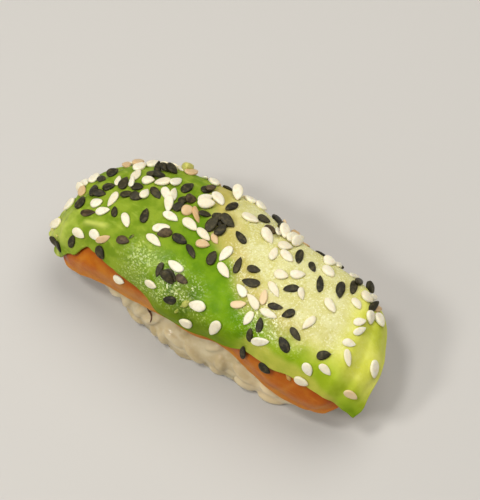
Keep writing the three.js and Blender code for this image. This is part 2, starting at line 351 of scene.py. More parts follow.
# =====================================================================
# Materials: small helper round shader nodes
# =====================================================================
class Mat:
    def __init__(self, name):
        self.m = bpy.data.materials.new(name)
        self.m.use_nodes = True
        self.t = self.m.node_tree
        self.t.nodes.clear()
        self.x = 0

    def node(self, kind, **props):
        n = self.t.nodes.new(kind)
        self.x += 40
        n.location = (self.x, 0)
        for k, v in props.items():
            setattr(n, k, v)
        return n

    def link(self, out, inp):
        self.t.links.new(out, inp)

    def put(self, sock, v):
        if isinstance(v, bpy.types.NodeSocket):
            self.link(v, sock)
        elif isinstance(v, (int, float)):
            sock.default_value = v
        else:
            v = tuple(v)
            n = len(sock.default_value)
            sock.default_value = v + (1.0,) * (n - len(v)) if len(v) < n else v[:n]

    def math(self, op, a, b=None, c=None, clamp=False):
        n = self.node("ShaderNodeMath", operation=op, use_clamp=clamp)
        for i, v in enumerate((a, b, c)):
            if v is not None:
                self.put(n.inputs[i], v)
        return n.outputs[0]

    def times(self, *vals):
        out = vals[0]
        for v in vals[1:]:
            out = self.math("MULTIPLY", out, v)
        return out

    def plus(self, *vals):
        out = vals[0]
        for v in vals[1:]:
            out = self.math("ADD", out, v)
        return out

    def mix(self, fac, a, b, blend="MIX"):
        n = self.node("ShaderNodeMix", data_type="RGBA", blend_type=blend, clamp_factor=True)
        self.put(n.inputs[0], fac)
        self.put(n.inputs[6], a)
        self.put(n.inputs[7], b)
        return n.outputs[2]

    def mixf(self, fac, a, b):
        n = self.node("ShaderNodeMix", data_type="FLOAT", clamp_factor=True)
        self.put(n.inputs[0], fac)
        self.put(n.inputs[2], a)
        self.put(n.inputs[3], b)
        return n.outputs[0]

    def smooth(self, x, lo, hi, a=0.0, b=1.0):
        n = self.node("ShaderNodeMapRange", interpolation_type="SMOOTHSTEP", clamp=True)
        self.put(n.inputs["Value"], x)
        n.inputs["From Min"].default_value = lo
        n.inputs["From Max"].default_value = hi
        n.inputs["To Min"].default_value = a
        n.inputs["To Max"].default_value = b
        return n.outputs[0]

    def attr(self, name):
        return self.node("ShaderNodeAttribute", attribute_name=name, attribute_type="GEOMETRY")

    def three(self, name):
        sep = self.node("ShaderNodeSeparateXYZ")
        self.link(self.attr(name).outputs["Vector"], sep.inputs[0])
        return sep.outputs

    def place(self):
        """Object coordinates in mm."""
        tc = self.node("ShaderNodeTexCoord")
        v = self.node("ShaderNodeVectorMath", operation="SCALE")
        self.link(tc.outputs["Object"], v.inputs[0])
        v.inputs["Scale"].default_value = 1000.0
        return v.outputs[0]

    def x_of(self, vec):
        sep = self.node("ShaderNodeSeparateXYZ")
        self.link(vec, sep.inputs[0])
        return sep.outputs[0]

    def noise(self, vec, scale, detail=2.0, rough=0.5, distort=0.0):
        n = self.node("ShaderNodeTexNoise")
        self.put(n.inputs["Vector"], vec)
        n.inputs["Scale"].default_value = scale
        n.inputs["Detail"].default_value = detail
        n.inputs["Roughness"].default_value = rough
        n.inputs["Distortion"].default_value = distort
        return n.outputs["Fac"]

    def voronoi(self, vec, scale, feature="F1", rand=1.0):
        n = self.node("ShaderNodeTexVoronoi", feature=feature)
        self.put(n.inputs["Vector"], vec)
        n.inputs["Scale"].default_value = scale
        n.inputs["Randomness"].default_value = rand
        return n.outputs[0]

    def stretch(self, vec, sx, sy, sz, loc=(0, 0, 0), rot=(0, 0, 0)):
        n = self.node("ShaderNodeMapping")
        self.put(n.inputs["Vector"], vec)
        n.inputs["Location"].default_value = loc
        n.inputs["Rotation"].default_value = rot
        n.inputs["Scale"].default_value = (sx, sy, sz)
        return n.outputs[0]

    def bump(self, height, strength, distance, normal=None):
        n = self.node("ShaderNodeBump")
        self.put(n.inputs["Strength"], strength)
        n.inputs["Distance"].default_value = distance
        self.put(n.inputs["Height"], height)
        if normal is not None:
            self.link(normal, n.inputs["Normal"])
        return n.outputs[0]

    def done(self, **inputs):
        bs = self.node("ShaderNodeBsdfPrincipled")
        for k, v in inputs.items():
            if v is not None:
                self.put(bs.inputs[k.replace("_", " ")], v)
        out = self.node("ShaderNodeOutputMaterial")
        self.link(bs.outputs[0], out.inputs["Surface"])
        return self.m


def srgb(r, g, b):
    return tuple(((c / 255) / 12.92 if c / 255 <= 0.04045 else ((c / 255 + 0.055) / 1.055) ** 2.4) for c in (r, g, b))


def finish(ob, material, slot, *nodes):
    ob.data.materials.append(material)
    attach(ob, "root")
    if nodes:
        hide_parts(*nodes)


# =====================================================================
# Avocado slice
# =====================================================================
def avocado_floor(a, b):
    return 2 * GAP + salmon_thickness(a, b)


def avocado_ragged(A, B, S, T):
    """Uneven knife cuts and the torn left end."""
    zero = np.zeros_like(A)
    P1 = np.stack([A, B, zero], -1)
    A0 = A
    rim_s = np.abs(S) ** 10
    rim_t = np.abs(T) ** 10
    A = A + rim_s * 0.20 * fractal(P1, 3.2, 11, 3)
    B = B + rim_t * np.sign(T) * 0.20 * fractal(P1, 3.6, 23, 3)
    torn = smooth(-0.87, -1.0, S)
    A = A + torn * (1.2 * fractal(np.stack([zero, B, zero + 3], -1), 2.3, 5, 3)
                    + 0.7 * fractal(np.stack([zero, B, zero + 9], -1), 1.3, 6, 2))
    # torn lobes with notches between them: where, how far out or in, how wide
    for at, far_, wide in ((-9.8, -0.45, 0.6), (-8.4, 1.1, 0.55), (-6.95, -0.95, 0.6), (-5.1, 0.7, 0.7), (-3.2, -0.5, 1.0),
                           (1.5, 0.5, 0.8), (5.0, -0.5, 1.0)):
        A = A + torn * far_ * np.exp(-(((B - at) / wide) ** 2))
    # the near edge is torn too beside the left end
    B = B + smooth(-0.80, -1.0, T) * smooth(-22, -32, A0) * 0.5 * fractal(np.stack([A0, zero, zero], -1), 2.6, 7, 2)
    # the right tip is drawn in to a blunt beak
    B = B - smooth(-0.60, -1.0, T) * 0.30 * np.exp(-(((A0 - 29.4) / 1.8) ** 2))
    A = A - smooth(0.84, 1.0, S) * 0.55 * np.exp(-(((T + 0.62) / 0.22) ** 2))
    A = A - smooth(0.90, 1.0, S) * 0.60 * np.exp(-(((T + 1) / 0.10) ** 2))
    B = B - smooth(-0.80, -1.0, T) * 0.35 * np.exp(-(((S - 1) / 0.045) ** 2))
    return A, B


# where the flesh turns from green to olive, and from olive to the pale inside (b at a)
GREEN_END = ([-20, -14.6, -13.2, -10.4, -7.8, -4.6, -1.6, 1.4, 4.2, 9, 12, 16.2, 20, 24.2, 30],
             [13, 9.0, 5.6, 4.1, 2.0, 0.6, -0.7, -3.0, -4.2, -5.0, -5.4, -5.7, -5.6, -5.5, -6.2])
PALE_START = ([-18, -11.2, -8.2, -5.4, -2.4, 0.8, 5.6, 8.2, 12.4, 16.2, 19.6, 24],
              [15, 9.0, 5.8, 4.2, 3.0, 0.9, -1.6, -2.9, -3.8, -4.5, -4.8, -4.4])


def spot(a, b, ca, cb, ra, rb, turn=0.0):
    c, s = math.cos(math.radians(turn)), math.sin(math.radians(turn))
    u, v = (a - ca) * c + (b - cb) * s, (b - cb) * c - (a - ca) * s
    return np.exp(-((u / ra) ** 2) - (v / rb) ** 2)


def build_avocado():
    v, f, abw, side, base = slice_mesh(AVOCADO_OUTLINE, avocado_floor, avocado_thickness,
                                       300, 112, 8, AVOCADO_BULGE, avocado_ragged)
    n = vertex_normals(v, f)
    a, b, w = abw.T
    top = smooth(0.3, 0.9, w)
    P = np.column_stack([a, b, np.zeros_like(a)])
    across, al, ar = inside(AVOCADO_OUTLINE, base[:, 0], base[:, 1])
    # gentle unevenness of a hand-cut slice
    rel = 0.16 * fractal(P, 9.0, 41, 2) + 0.05 * fractal(P, 2.8, 43, 2) + 0.018 * fractal(P, 0.95, 45, 2)
    # the torn left end: lumps, tatters and one long ridge
    end = smooth(-22, -33, a)
    rel += end * (0.20 * fractal(P, 2.6, 53, 3))
    # a curled flap at the far corner
    rel += 0.8 * spot(a, b, -33.5, 8.2, 3.0, 1.6)
    tatter = smooth(3.2, 0.2, al)
    rel += tatter * 0.22 * fractal(P, 1.1, 57, 2)
    ridge = np.exp(-(((b + 4.35 - 0.10 * (a + 27)) / 0.30) ** 2)) * smooth(-30.6, -29.2, a) * smooth(-24.2, -26.6, a)
    rel += 0.22 * ridge
    # a bruised hollow low on the near side; the darker green painted there is partly the bruise and partly painted
    # shade in the hollow
    dip = np.clip(spot(a, b, -4.6, -8.2, 5.2, 1.7, -6) + 0.8 * spot(a, b, -6.5, -7.0, 2.6, 1.6), 0, 1)
    rel += dip * (-0.30 + 0.08 * fractal(P, 2.0, 59, 2))
    groove = np.exp(-(((b + 6.2 + 0.16 * (a - 0.6)) / 0.5) ** 2)) * smooth(-5.5, -3.0, a) * smooth(8.5, 4.5, a)
    rel -= 0.10 * groove
    v = v + n * (rel * (0.2 + 0.8 * top) * (0.35 + 0.65 * smooth(0, 1.2, across)))[:, None]
    ob = make_mesh("avocado_slice", v, f)
    set_vector(ob, "drape", abw)
    # zones of the flesh
    blot = fractal(P, 4.4, 61, 3)
    fine = fractal(P, 1.3, 67, 2)
    soft = 1 + 1.4 * smooth(6.5, 11.0, b)      # on the far side the colours run into each other more slowly
    olive = smooth(-1.7, 1.5, (b - profile(GREEN_END, a) + (0.7 + 1.2 * (soft - 1)) * blot + 0.25 * fine) / soft)
    pale = smooth(-1.5, 1.3, (b - profile(PALE_START, a) + (0.9 + 1.2 * (soft - 1)) * blot + 0.3 * fine) / soft)
    pale = pale * smooth(2.6, -2.2, a - 21.6 + 0.14 * b + 1.0 * blot)
    wide = profile(([6, 11, 18, 24, 29], [1.4, 1.9, 1.6, 1.0, 0.3]), a)
    band = smooth(0.45, -0.45, across - wide - 0.45 * fractal(P, 3.0, 69, 2)) * (b < 0) * smooth(5.0, 10.0, a)
    band = np.maximum(band, smooth(0.6, -0.6, ar - 1.3 - 0.3 * fractal(P, 3.0, 71, 2)) * smooth(-9.5, -5.0, b) * 0.45)
    band = np.maximum(band, smooth(0.4, -0.4, across - 1.5 - 0.3 * fractal(P, 3.0, 73, 2)) * (b > 0) * 0.7)
    set_vector(ob, "zone", olive, pale, band)
    # how grainy and wet the cut is: rubbed at the left and over the pale flesh, glassy in between; it also places
    # painted glint specks
    grain = smooth(-5.5, -8.5, a) * smooth(-21.5, -17.5, a) * smooth(-3.0, -4.6, b) * smooth(-9.8, -8.4, b)
    grain = np.maximum(grain, spot(a, b, -4.6, -7.4, 5.6, 1.25, -6))
    grain = np.maximum(grain, smooth(-0.8, 1.0, b - profile(GREEN_END, a) - 0.6) * smooth(-7, -3, a))
    grain = np.maximum(grain, smooth(6.5, 9.0, a) * smooth(19.5, 16.0, a) * smooth(-7.4, -6.2, b))
    grain = grain * smooth(-0.55, 0.15, fractal(P, 3.2, 75, 2) + 0.30) * (1 - band) * (1 - 0.75 * smooth(22, 25, a))
    grain = grain * (1 - 0.5 * smooth(4.0, 14.0, a) * smooth(-4.5, -2.0, b))
    left = smooth(-8.0, -20.0, a)
    # the wet attribute carries the grain mask, the hollow's mask for painted shade and the ridge's mask for a painted
    # highlight
    set_vector(ob, "wet", np.clip(grain, 0, 1), dip, ridge)
    frayed = np.maximum(tatter * smooth(-0.1, 0.7, fractal(P, 1.2, 79, 2) + 0.35),
                        np.maximum(spot(a, b, -39.4, -6.9, 2.4, 0.9), 0.8 * spot(a, b, -38.6, -3.0, 1.3, 1.2)) * smooth(-0.5, 0.1, fractal(P, 0.9, 77, 2) + 0.2))
    # where painted glints go: along the edge of the green and in a few spots
    edge_on = np.exp(-(((b - profile(GREEN_END, a) - 0.3) / 1.15) ** 2)) * smooth(-4.5, -0.5, a) * smooth(14.5, 10.5, a)
    painted_glint_zone = edge_on + spot(a, b, 9.2, -6.2, 3.4, 1.2) + spot(a, b, -8.7, -7.0, 3.0, 1.3) + 0.9 * spot(a, b, -6.0, -5.9, 2.6, 1.1)
    painted_glint_zone = painted_glint_zone + 0.7 * spot(a, b, -17.4, -6.3, 3.0, 1.4) + 0.5 * spot(a, b, -13.0, -8.0, 3.0, 0.9)
    set_vector(ob, "tear", np.clip(frayed, 0, 1), left, np.clip(painted_glint_zone, 0, 1))
    # where a seed can lie without hanging over an edge
    return ob, v, f, np.where((w > 0.99) & (al > 1.5) & (ar > 1.2) & (across > 0.9))[0]


avocado, avo_v, avo_f, avo_top = build_avocado()


def avocado_material():
    m = Mat("avocado_flesh")
    P = m.place()
    a, b, w = m.three("drape")
    olive, pale, band = m.three("zone")
    grain, dip, ridge = m.three("wet")
    tear, left, painted_glint_zone = m.three("tear")
    big = m.noise(P, 0.16, 2.0, 0.5)
    mid = m.noise(P, 0.34, 3.0, 0.5)
    fine = m.noise(P, 2.0, 2.0, 0.6)
    # greens: soft and mottled at the left, vivid in the middle, yellower at the right
    g = m.mix(m.smooth(mid, 0.38, 0.66), srgb(98, 138, 10), srgb(118, 154, 18))
    g = m.mix(left, g, m.mix(m.smooth(mid, 0.36, 0.64), srgb(112, 140, 28), srgb(138, 160, 46)))
    vivid = m.times(m.smooth(m.math("ABSOLUTE", m.plus(a, -2.0)), 8.0, 3.0), m.smooth(b, -2.5, -5.0))
    g = m.mix(vivid, g, m.mix(m.smooth(mid, 0.36, 0.64), srgb(98, 142, 2), srgb(118, 158, 8)))
    low = m.times(m.smooth(b, -6.5, -9.5), m.smooth(a, -24.0, -16.0), m.smooth(a, 10.0, 2.0))
    g = m.mix(m.times(low, 0.75), g, srgb(116, 136, 6))
    # painted shade: darker green in the near-side hollow, partly the bruised flesh's own colour
    g = m.mix(m.times(dip, 0.8), g, m.mix(m.smooth(mid, 0.35, 0.6), srgb(66, 92, 10), srgb(108, 130, 30)))
    right = m.smooth(a, 8.0, 15.0)
    g = m.mix(right, g, m.mix(m.smooth(mid, 0.36, 0.64), srgb(132, 164, 12), srgb(152, 180, 26)))
    g = m.mix(m.smooth(a, 18.0, 25.0), g, m.mix(m.smooth(mid, 0.36, 0.64), srgb(160, 182, 34), srgb(176, 196, 54)))
    mellow = m.mix(m.smooth(mid, 0.36, 0.66), srgb(187, 176, 88), srgb(203, 190, 114))
    # lighter towards the right end: partly the flesh's own yellower colour, partly painted light where the lamps fall
    # off
    mellow = m.mix(m.smooth(a, 15.0, 23.0), mellow, m.mix(m.smooth(mid, 0.36, 0.66), srgb(211, 214, 82), srgb(222, 224, 106)))
    mellow = m.mix(m.times(m.smooth(a, 23.0, 26.5), m.smooth(b, -1.0, 2.0)), mellow, m.mix(m.smooth(mid, 0.36, 0.66), srgb(184, 192, 58), srgb(194, 202, 74)))
    cream = m.mix(m.smooth(mid, 0.34, 0.68), srgb(203, 198, 122), srgb(216, 213, 154))
    cream = m.mix(m.times(m.smooth(fine, 0.56, 0.72), 0.55), cream, srgb(184, 178, 72))
    # white dots in the pale flesh: partly its own fine grain, partly painted glints
    cream = m.mix(m.times(m.smooth(m.noise(P, 2.6, 1.0, 0.5), 0.56, 0.70), 0.6), cream, srgb(238, 238, 200))
    col = m.mix(olive, g, mellow)
    col = m.mix(pale, col, cream)
    # pale threads and blotches at the torn end
    col = m.mix(m.times(left, m.smooth(m.noise(m.stretch(P, 0.4, 1.0, 1.0, rot=(0, 0, 0.5)), 0.8, 2.0, 0.6), 0.54, 0.74), 0.45),
                col, srgb(172, 190, 76))
    lobe = m.times(m.smooth(a, -29.5, -34.5), m.smooth(b, -2.6, -5.4), m.smooth(b, -8.8, -7.4))
    col = m.mix(m.times(lobe, m.mixf(m.smooth(mid, 0.34, 0.62), 0.35, 0.75)), col, srgb(190, 202, 92))
    col = m.mix(m.times(tear, 0.85), col, srgb(196, 204, 108))
    # painted highlight: a pale streak along the ridge at the torn end
    col = m.mix(m.times(ridge, 0.75), col, srgb(200, 208, 104))
    # knife-cut bevel along the near edge and the right end, and the green tip
    cutc = m.mix(m.smooth(b, -8.5, -4.0), srgb(198, 194, 84), srgb(216, 216, 118))
    col = m.mix(m.times(band, m.mixf(m.smooth(mid, 0.3, 0.7), 0.55, 0.85)), col, cutc)
    tip = m.times(m.smooth(b, -6.6, -9.2), m.smooth(a, 26.0, 30.0))
    col = m.mix(m.times(tip, 0.9), col, m.mix(m.smooth(mid, 0.36, 0.64), srgb(110, 142, 10), srgb(128, 158, 20)))
    # painted glints: white specks in the rubbed places
    painted_glint_specks = m.times(grain, m.smooth(m.noise(P, 2.25, 1.0, 0.5), 0.55, 0.635), m.smooth(m.noise(P, 0.5, 1.0, 0.5), 0.38, 0.56, 0.3, 1.0))
    col = m.mix(m.times(painted_glint_specks, m.mixf(pale, 0.46, 0.34)), col, m.mix(olive, srgb(222, 236, 140), srgb(240, 242, 200)))
    # painted glints: bright white dots in the glint zone
    painted_glints = m.times(painted_glint_zone, m.smooth(m.noise(P, 2.5, 2.0, 0.6), 0.545, 0.605), m.smooth(m.noise(P, 0.7, 1.0, 0.5), 0.40, 0.52, 0.35, 1.0))
    col = m.mix(m.times(painted_glints, 0.85), col, m.mix(olive, srgb(236, 242, 186), srgb(250, 250, 226)))
    # wet cut flesh: a thin film over crushed cells
    lumps = m.noise(P, 1.75, 1.0, 0.5)
    nrm = m.bump(lumps, m.mixf(m.smooth(grain, 0.0, 0.22), 0.10, 1.0), 0.00022)
    soft = m.bump(m.plus(m.noise(P, 0.9, 2.0, 0.5), m.times(lumps, grain, 0.8)), 0.35, 0.00020)
    film = m.times(m.mixf(grain, 0.02, 0.88), m.smooth(b, -9.6, -8.2, 0.25, 1.0), m.smooth(m.noise(P, 2.1, 2.0, 0.6), 0.40, 0.56, 0.15, 1.0))
    film = m.times(film, m.mixf(m.times(m.smooth(a, -9.0, -5.5), m.smooth(a, 6.0, 3.0), m.smooth(b, -2.0, -4.0)), 1.0, 0.6))
    return m.done(Base_Color=col, Roughness=m.mixf(grain, 0.50, 0.56), IOR=1.33, Normal=soft, Subsurface_Weight=0.22,
                  Subsurface_Radius=(1.0, 0.9, 0.3), Subsurface_Scale=0.0012, Specular_IOR_Level=0.12,
                  Coat_Weight=film, Coat_Roughness=0.09, Coat_IOR=1.45, Coat_Normal=nrm)


finish(avocado, avocado_material(), "avocado", "avocado")


# =====================================================================
# Salmon slice
# =====================================================================
def salmon_floor(a, b):
    return GAP + 0 * a


def salmon_ragged(A, B, S, T):
    zero = np.zeros_like(A)
    P1 = np.stack([A, B, zero], -1)
    A = A + np.abs(S) ** 10 * 0.25 * fractal(P1, 4.0, 71, 2) + smooth(0.75, 1.0, S) * 0.9 * np.exp(-(((T + 0.84) / 0.26) ** 2))
    B = B + np.abs(T) ** 10 * 0.25 * fractal(P1, 4.5, 73, 2)
    return A, B


def flake(a, b, P):
    return (a * 0.62 + np.abs(b + 2) * 0.45 + 1.2 * value_noise(P, 11.0, 83)) / 5.2


def build_salmon():
    v, f, abw, side, base = slice_mesh(SALMON_OUTLINE, salmon_floor, salmon_thickness, 240, 96, 8, SALMON_BULGE, salmon_ragged)
    n = vertex_normals(v, f)
    a, b, w = abw.T
    P = np.column_stack([a, b, w * 3])
    rel = 0.07 * fractal(P, 4.0, 81, 2) + 0.03 * fractal(P, 1.4, 85, 2)
    # muscle flakes: shallow steps where the pale lines run
    tri = np.abs((flake(a, b, P) % 1.0) - 0.5) * 2
    line = np.exp(-((1 - tri) / 0.14) ** 2)
    rel -= 0.05 * line
    v = v + n * (np.where(w < 0.12, 0.0, rel))[:, None]
    ob = make_mesh("salmon_slice", v, f)
    set_vector(ob, "drape", abw)
    # how close under the avocado's edge (for painted shade), how near the slice's own edge, and where a pale line runs
    out = np.abs(b) - np.where(b < 0, profile(AVOCADO_OUTLINE["near"], a), profile(AVOCADO_OUTLINE["far"], a))
    across, al, ar = inside(SALMON_OUTLINE, base[:, 0], base[:, 1])
    set_vector(ob, "lie", smooth(1.9, 0.2, out + 0.4 * fractal(P, 3.0, 87, 2)), smooth(1.6, 0.0, across), line)
    return ob, v, f


salmon, sal_v, sal_f = build_salmon()


def salmon_material():
    m = Mat("salmon_flesh")
    P = m.place()
    a, b, w = m.three("drape")
    under, rim, line = m.three("lie")
    mid = m.noise(P, 0.35, 3.0, 0.55)
    streak = m.noise(m.stretch(P, 0.35, 1.5, 1.5), 0.9, 3.0, 0.6)
    col = m.mix(m.smooth(mid, 0.3, 0.7), srgb(176, 90, 7), srgb(190, 112, 16))
    pale = m.times(m.smooth(a, -3.0, -9.0), m.smooth(a, -29.0, -19.0))
    col = m.mix(pale, col, m.mix(m.smooth(mid, 0.3, 0.7), srgb(174, 104, 26), srgb(190, 126, 46)))
    col = m.mix(m.times(m.smooth(streak, 0.52, 0.74), 0.35), col, srgb(206, 130, 36))
    col = m.mix(m.times(line, 0.22), col, srgb(208, 148, 60))
    col = m.mix(m.times(rim, 0.45), col, srgb(196, 134, 46))
    # painted shade: darker red under the avocado's overhanging edge
    col = m.mix(m.times(under, 0.75), col, srgb(160, 60, 8))
    soft = m.bump(m.plus(m.noise(P, 1.3, 3.0, 0.6), m.times(streak, 0.6)), 0.35, 0.00022)
    wetn = m.bump(m.noise(P, 2.2, 2.0, 0.6), 0.35, 0.00010)
    return m.done(Base_Color=col, Roughness=m.mixf(mid, 0.34, 0.48), IOR=1.42, Normal=soft, Subsurface_Weight=0.35,
                  Subsurface_Radius=(1.0, 0.35, 0.18), Subsurface_Scale=0.0018, Specular_IOR_Level=0.2,
                  Coat_Weight=0.22, Coat_Roughness=0.16, Coat_IOR=1.36, Coat_Normal=wetn)


finish(salmon, salmon_material(), "salmon", "salmon")


# =====================================================================
# Rice: a smaller core and the grains pressed round it
# =====================================================================
def outline(f, k=1.0):
    c, s = np.cos(f), np.sin(f)
    r = 1 / (np.abs(c) ** RICE_CORNER + np.abs(s) ** RICE_CORNER) ** (1 / RICE_CORNER)
    return r * c * k, r * s * k


def rice_top(k, f):
    x, y = outline(f, k)
    return drape(x * RICE_TOP_HALF[0] - 0.8, y * RICE_TOP_HALF[1], 0)


def rice_wall(t, f):
    """Point of the rice block's wall: t 0 at its top edge, 1 at the base."""
    p0 = rice_top(1.0, f)
    lean = p0 - rice_top(0.96, f)
    lean /= np.linalg.norm(lean, axis=-1, keepdims=True)
    bx, by = outline(f)
    out = np.stack([bx / RICE_BASE_HALF[0], by / RICE_BASE_HALF[1], 0 * bx], -1)
    out /= np.linalg.norm(out, axis=-1, keepdims=True)
    p3 = np.stack([bx * RICE_BASE_HALF[0] + RICE_BASE_SHIFT[0], by * RICE_BASE_HALF[1] + RICE_BASE_SHIFT[1], 0 * bx], -1)
    z0 = p0[..., 2:3]
    p1 = p0 + lean * 0.34 * z0
    p2 = p3 + out * RICE_BELLY * 2
    p2[..., 2:3] += 0.3 * z0
    t = np.asarray(t, float)[..., None]
    return (1 - t) ** 3 * p0 + 3 * t * (1 - t) ** 2 * p1 + 3 * t * t * (1 - t) * p2 + t ** 3 * p3


def closed_rice(around=180, tops=16, walls=30):
    """The rice block's skin."""
    f = 2 * np.pi * np.arange(around) / around
    rows = [rice_top(np.full(around, i / tops), f) for i in range(1, tops + 1)]
    rows += [rice_wall(np.full(around, i / walls), f) for i in range(1, walls + 1)]
    v = [drape(0, 0, 0)[None]] + rows + [np.array([[RICE_BASE_SHIFT[0], RICE_BASE_SHIFT[1], 0.0]])]
    v = np.concatenate(v)
    ids = 1 + np.arange(len(rows) * around).reshape(len(rows), around)
    nxt = np.roll(ids, -1, 1)
    tris = []
    for i in range(len(rows) - 1):
        a_, b_, c_, d_ = ids[i], ids[i + 1], nxt[i + 1], nxt[i]
        tris += [np.stack([a_, b_, c_], -1), np.stack([a_, c_, d_], -1)]
    tris.append(np.stack([0 * ids[0], ids[0], nxt[0]], -1))
    last = len(v) - 1
    tris.append(np.stack([0 * ids[-1] + last, nxt[-1], ids[-1]], -1))
    tris = np.concatenate(tris)
    return v, vertex_normals(v, tris), tris


rice_v, rice_n, rice_f = closed_rice()
skin = tree_of([(rice_v, rice_f)])



def heap(p):
    """How far the pressed rice stands out or is drawn in here, in mm."""
    out = 0.0
    for x, y, z, far_, wide in ((-25.2, -9.0, 6.0, 2.3, 3.0), (-6.0, -13.8, 1.8, 0.75, 2.6), (16.6, -11.9, 1.6, 0.7, 3.4), (20.6, -11.4, 1.4, 1.0, 3.0), (5.4, -13.8, 2.2, -0.65, 3.4),
                                (-1.1, -13.9, 2.7, -0.3, 1.4)):
        d = np.asarray(p, float) - np.array([x, y, z])
        out = out + far_ * np.exp(-(d ** 2).sum(-1) / wide ** 2)
    return out


core_v = rice_v - rice_n * 1.3
core_v = core_v + rice_n * (0.22 * fractal(core_v, 2.2, 91, 3))[:, None]
core_v[:, 2] = np.maximum(core_v[:, 2], 0.9)
core = make_mesh("rice_core", core_v, rice_f)
set_float(core, "grain", 0.5 + 0.5 * value_noise(core_v, 2.6, 93))


def build_grains():
    rng = np.random.default_rng(20240611)
    # candidate spots spread evenly over the skin
    tri = rice_v[rice_f]
    area = np.linalg.norm(np.cross(tri[:, 1] - tri[:, 0], tri[:, 2] - tri[:, 0]), axis=1) / 2
    COUNT = 14000
    pick = rng.choice(len(tri), COUNT, p=area / area.sum())
    u, w = rng.random(COUNT), rng.random(COUNT)
    flip = u + w > 1
    u[flip], w[flip] = 1 - u[flip], 1 - w[flip]
    pts = tri[pick, 0] + (tri[pick, 1] - tri[pick, 0]) * u[:, None] + (tri[pick, 2] - tri[pick, 0]) * w[:, None]
    nor = np.cross(tri[pick, 1] - tri[pick, 0], tri[pick, 2] - tri[pick, 0])
    nor /= np.linalg.norm(nor, axis=1)[:, None]
    pins = np.zeros((0, 3))
    kept = []
    for p, n in zip(pts, nor):
        # nothing shows where the salmon covers the dome, nor under the block
        if (n[2] > 0.45 and abs(p[1]) < 10.2 and -21.0 < p[0] < 20.0) or (n[2] < -0.9 and abs(p[1]) < 8.5 and abs(p[0]) < 20):
            continue
        L, W = rng.uniform(4.9, 6.7) / 2, rng.uniform(2.2, 2.8) / 2
        ref = np.array([1.0, 0, 0]) if abs(n[0]) < 0.8 else np.array([0, 1.0, 0])
        x, y, z = frame_of(n, ref)
        ang = rng.uniform(0, math.pi)
        along = x * math.cos(ang) + y * math.sin(ang)
        own = p + along * L * np.array([-0.7, -0.35, 0.0, 0.35, 0.7])[:, None]
        if len(pins):
            d = pins[:, None] - own[None]
            if np.einsum("ijk,ijk->ij", d, d).min() < 1.72 ** 2:
                continue
        pins = np.concatenate([pins, own])
        kept.append((p, z, along, L, W))
    sv, st = unit_ellipsoid(16, 12)
    V, F, RND = [], [], []
    count = 0
    for p, n, along, L, W in kept:
        H = W * rng.uniform(0.78, 0.92)
        bend = rng.uniform(-0.10, 0.18)
        q = sv.copy()
        r = 1 - 0.12 * q[:, 0] * rng.uniform(-1, 1)
        q[:, 1] *= r * W
        q[:, 1] += bend * (q[:, 0] ** 2 - 0.3) * W * 1.5
        q[:, 2] *= r * H
        q[:, 0] = np.sign(q[:, 0]) * np.abs(q[:, 0]) ** 0.90 * L
        q += (0.12 * fractal(q + rng.uniform(0, 90, 3), 1.8, 95, 2))[:, None] * np.array([0.3, 1, 1])
        # how far its crest stands out of the block's skin; each end dips or rises a little
        crest = rng.uniform(-0.10, 0.24) + 0.20 * float(value_noise(p, 5.0, 97)) + float(heap(p))
        slope = rng.normal(0, 0.05)
        across = np.cross(n, along)
        g = np.zeros_like(q)
        for i, (qx, qy, qz) in enumerate(q):
            hit, hn, _, _ = skin.find_nearest(Vector(p + along * qx + across * qy))
            g[i] = np.array(hit) + np.array(hn) * (qz - H + crest + slope * qx)
        V.append(g)
        F.append(st + count)
        RND.append(np.full(len(g), rng.random()))
        count += len(g)
    out = np.concatenate(V)
    F = np.concatenate(F)
    out[:, 2] = np.maximum(out[:, 2], 0.0)
    # cooked grains stick: their shells run into each other with soft creases
    paste = rice_v + rice_n * (-0.90 + 0.20 * fractal(rice_v, 1.9, 99, 2) + heap(rice_v))[:, None]
    paste[:, 2] = np.maximum(paste[:, 2], 0.35)
    loose = make_mesh("loose_grains", np.concatenate([out, paste]), np.concatenate([F, rice_f + len(out)]))
    md = loose.modifiers.new("stuck", "REMESH")
    md.mode = "VOXEL"
    md.voxel_size = 0.28 * MM
    dg = bpy.context.evaluated_depsgraph_get()
    stuck = bpy.data.meshes.new_from_object(loose.evaluated_get(dg))
    sv_ = np.zeros(len(stuck.vertices) * 3, np.float32)
    stuck.vertices.foreach_get("co", sv_)
    sv_ = sv_.reshape(-1, 3).astype(float) / MM
    sf_ = np.zeros(len(stuck.polygons) * 4, np.int32)
    stuck.polygons.foreach_get("vertices", sf_)
    sf_ = sf_.reshape(-1, 4)
    ed = np.zeros(len(stuck.edges) * 2, np.int32)
    stuck.edges.foreach_get("vertices", ed)
    ed = ed.reshape(-1, 2)
    bpy.data.objects.remove(loose)
    deg = np.bincount(ed.ravel(), minlength=len(sv_))[:, None]
    for _ in range(5):
        acc = np.zeros_like(sv_)
        np.add.at(acc, ed[:, 0], sv_[ed[:, 1]])
        np.add.at(acc, ed[:, 1], sv_[ed[:, 0]])
        sv_ = sv_ + 0.5 * (acc / deg - sv_)
    sv_[:, 2] = np.maximum(sv_[:, 2], 0.0)
    kd = KDTree(len(out))
    for i, p in enumerate(out):
        kd.insert(p, i)
    kd.balance()
    rnd = np.concatenate(RND)
    tone = np.array([rnd[kd.find(p)[1]] for p in sv_])
    for _ in range(6):
        acc = np.bincount(ed[:, 0], tone[ed[:, 1]], len(tone)) + np.bincount(ed[:, 1], tone[ed[:, 0]], len(tone))
        tone = 0.4 * tone + 0.6 * acc / deg[:, 0]
    ob = make_mesh("rice_grains", sv_, sf_)
    set_float(ob, "grain", tone)
    return ob, sv_, sf_, len(kept)


grains, gr_v, gr_f, n_grains = build_grains()
print("grains", n_grains, "triangles", len(gr_f))


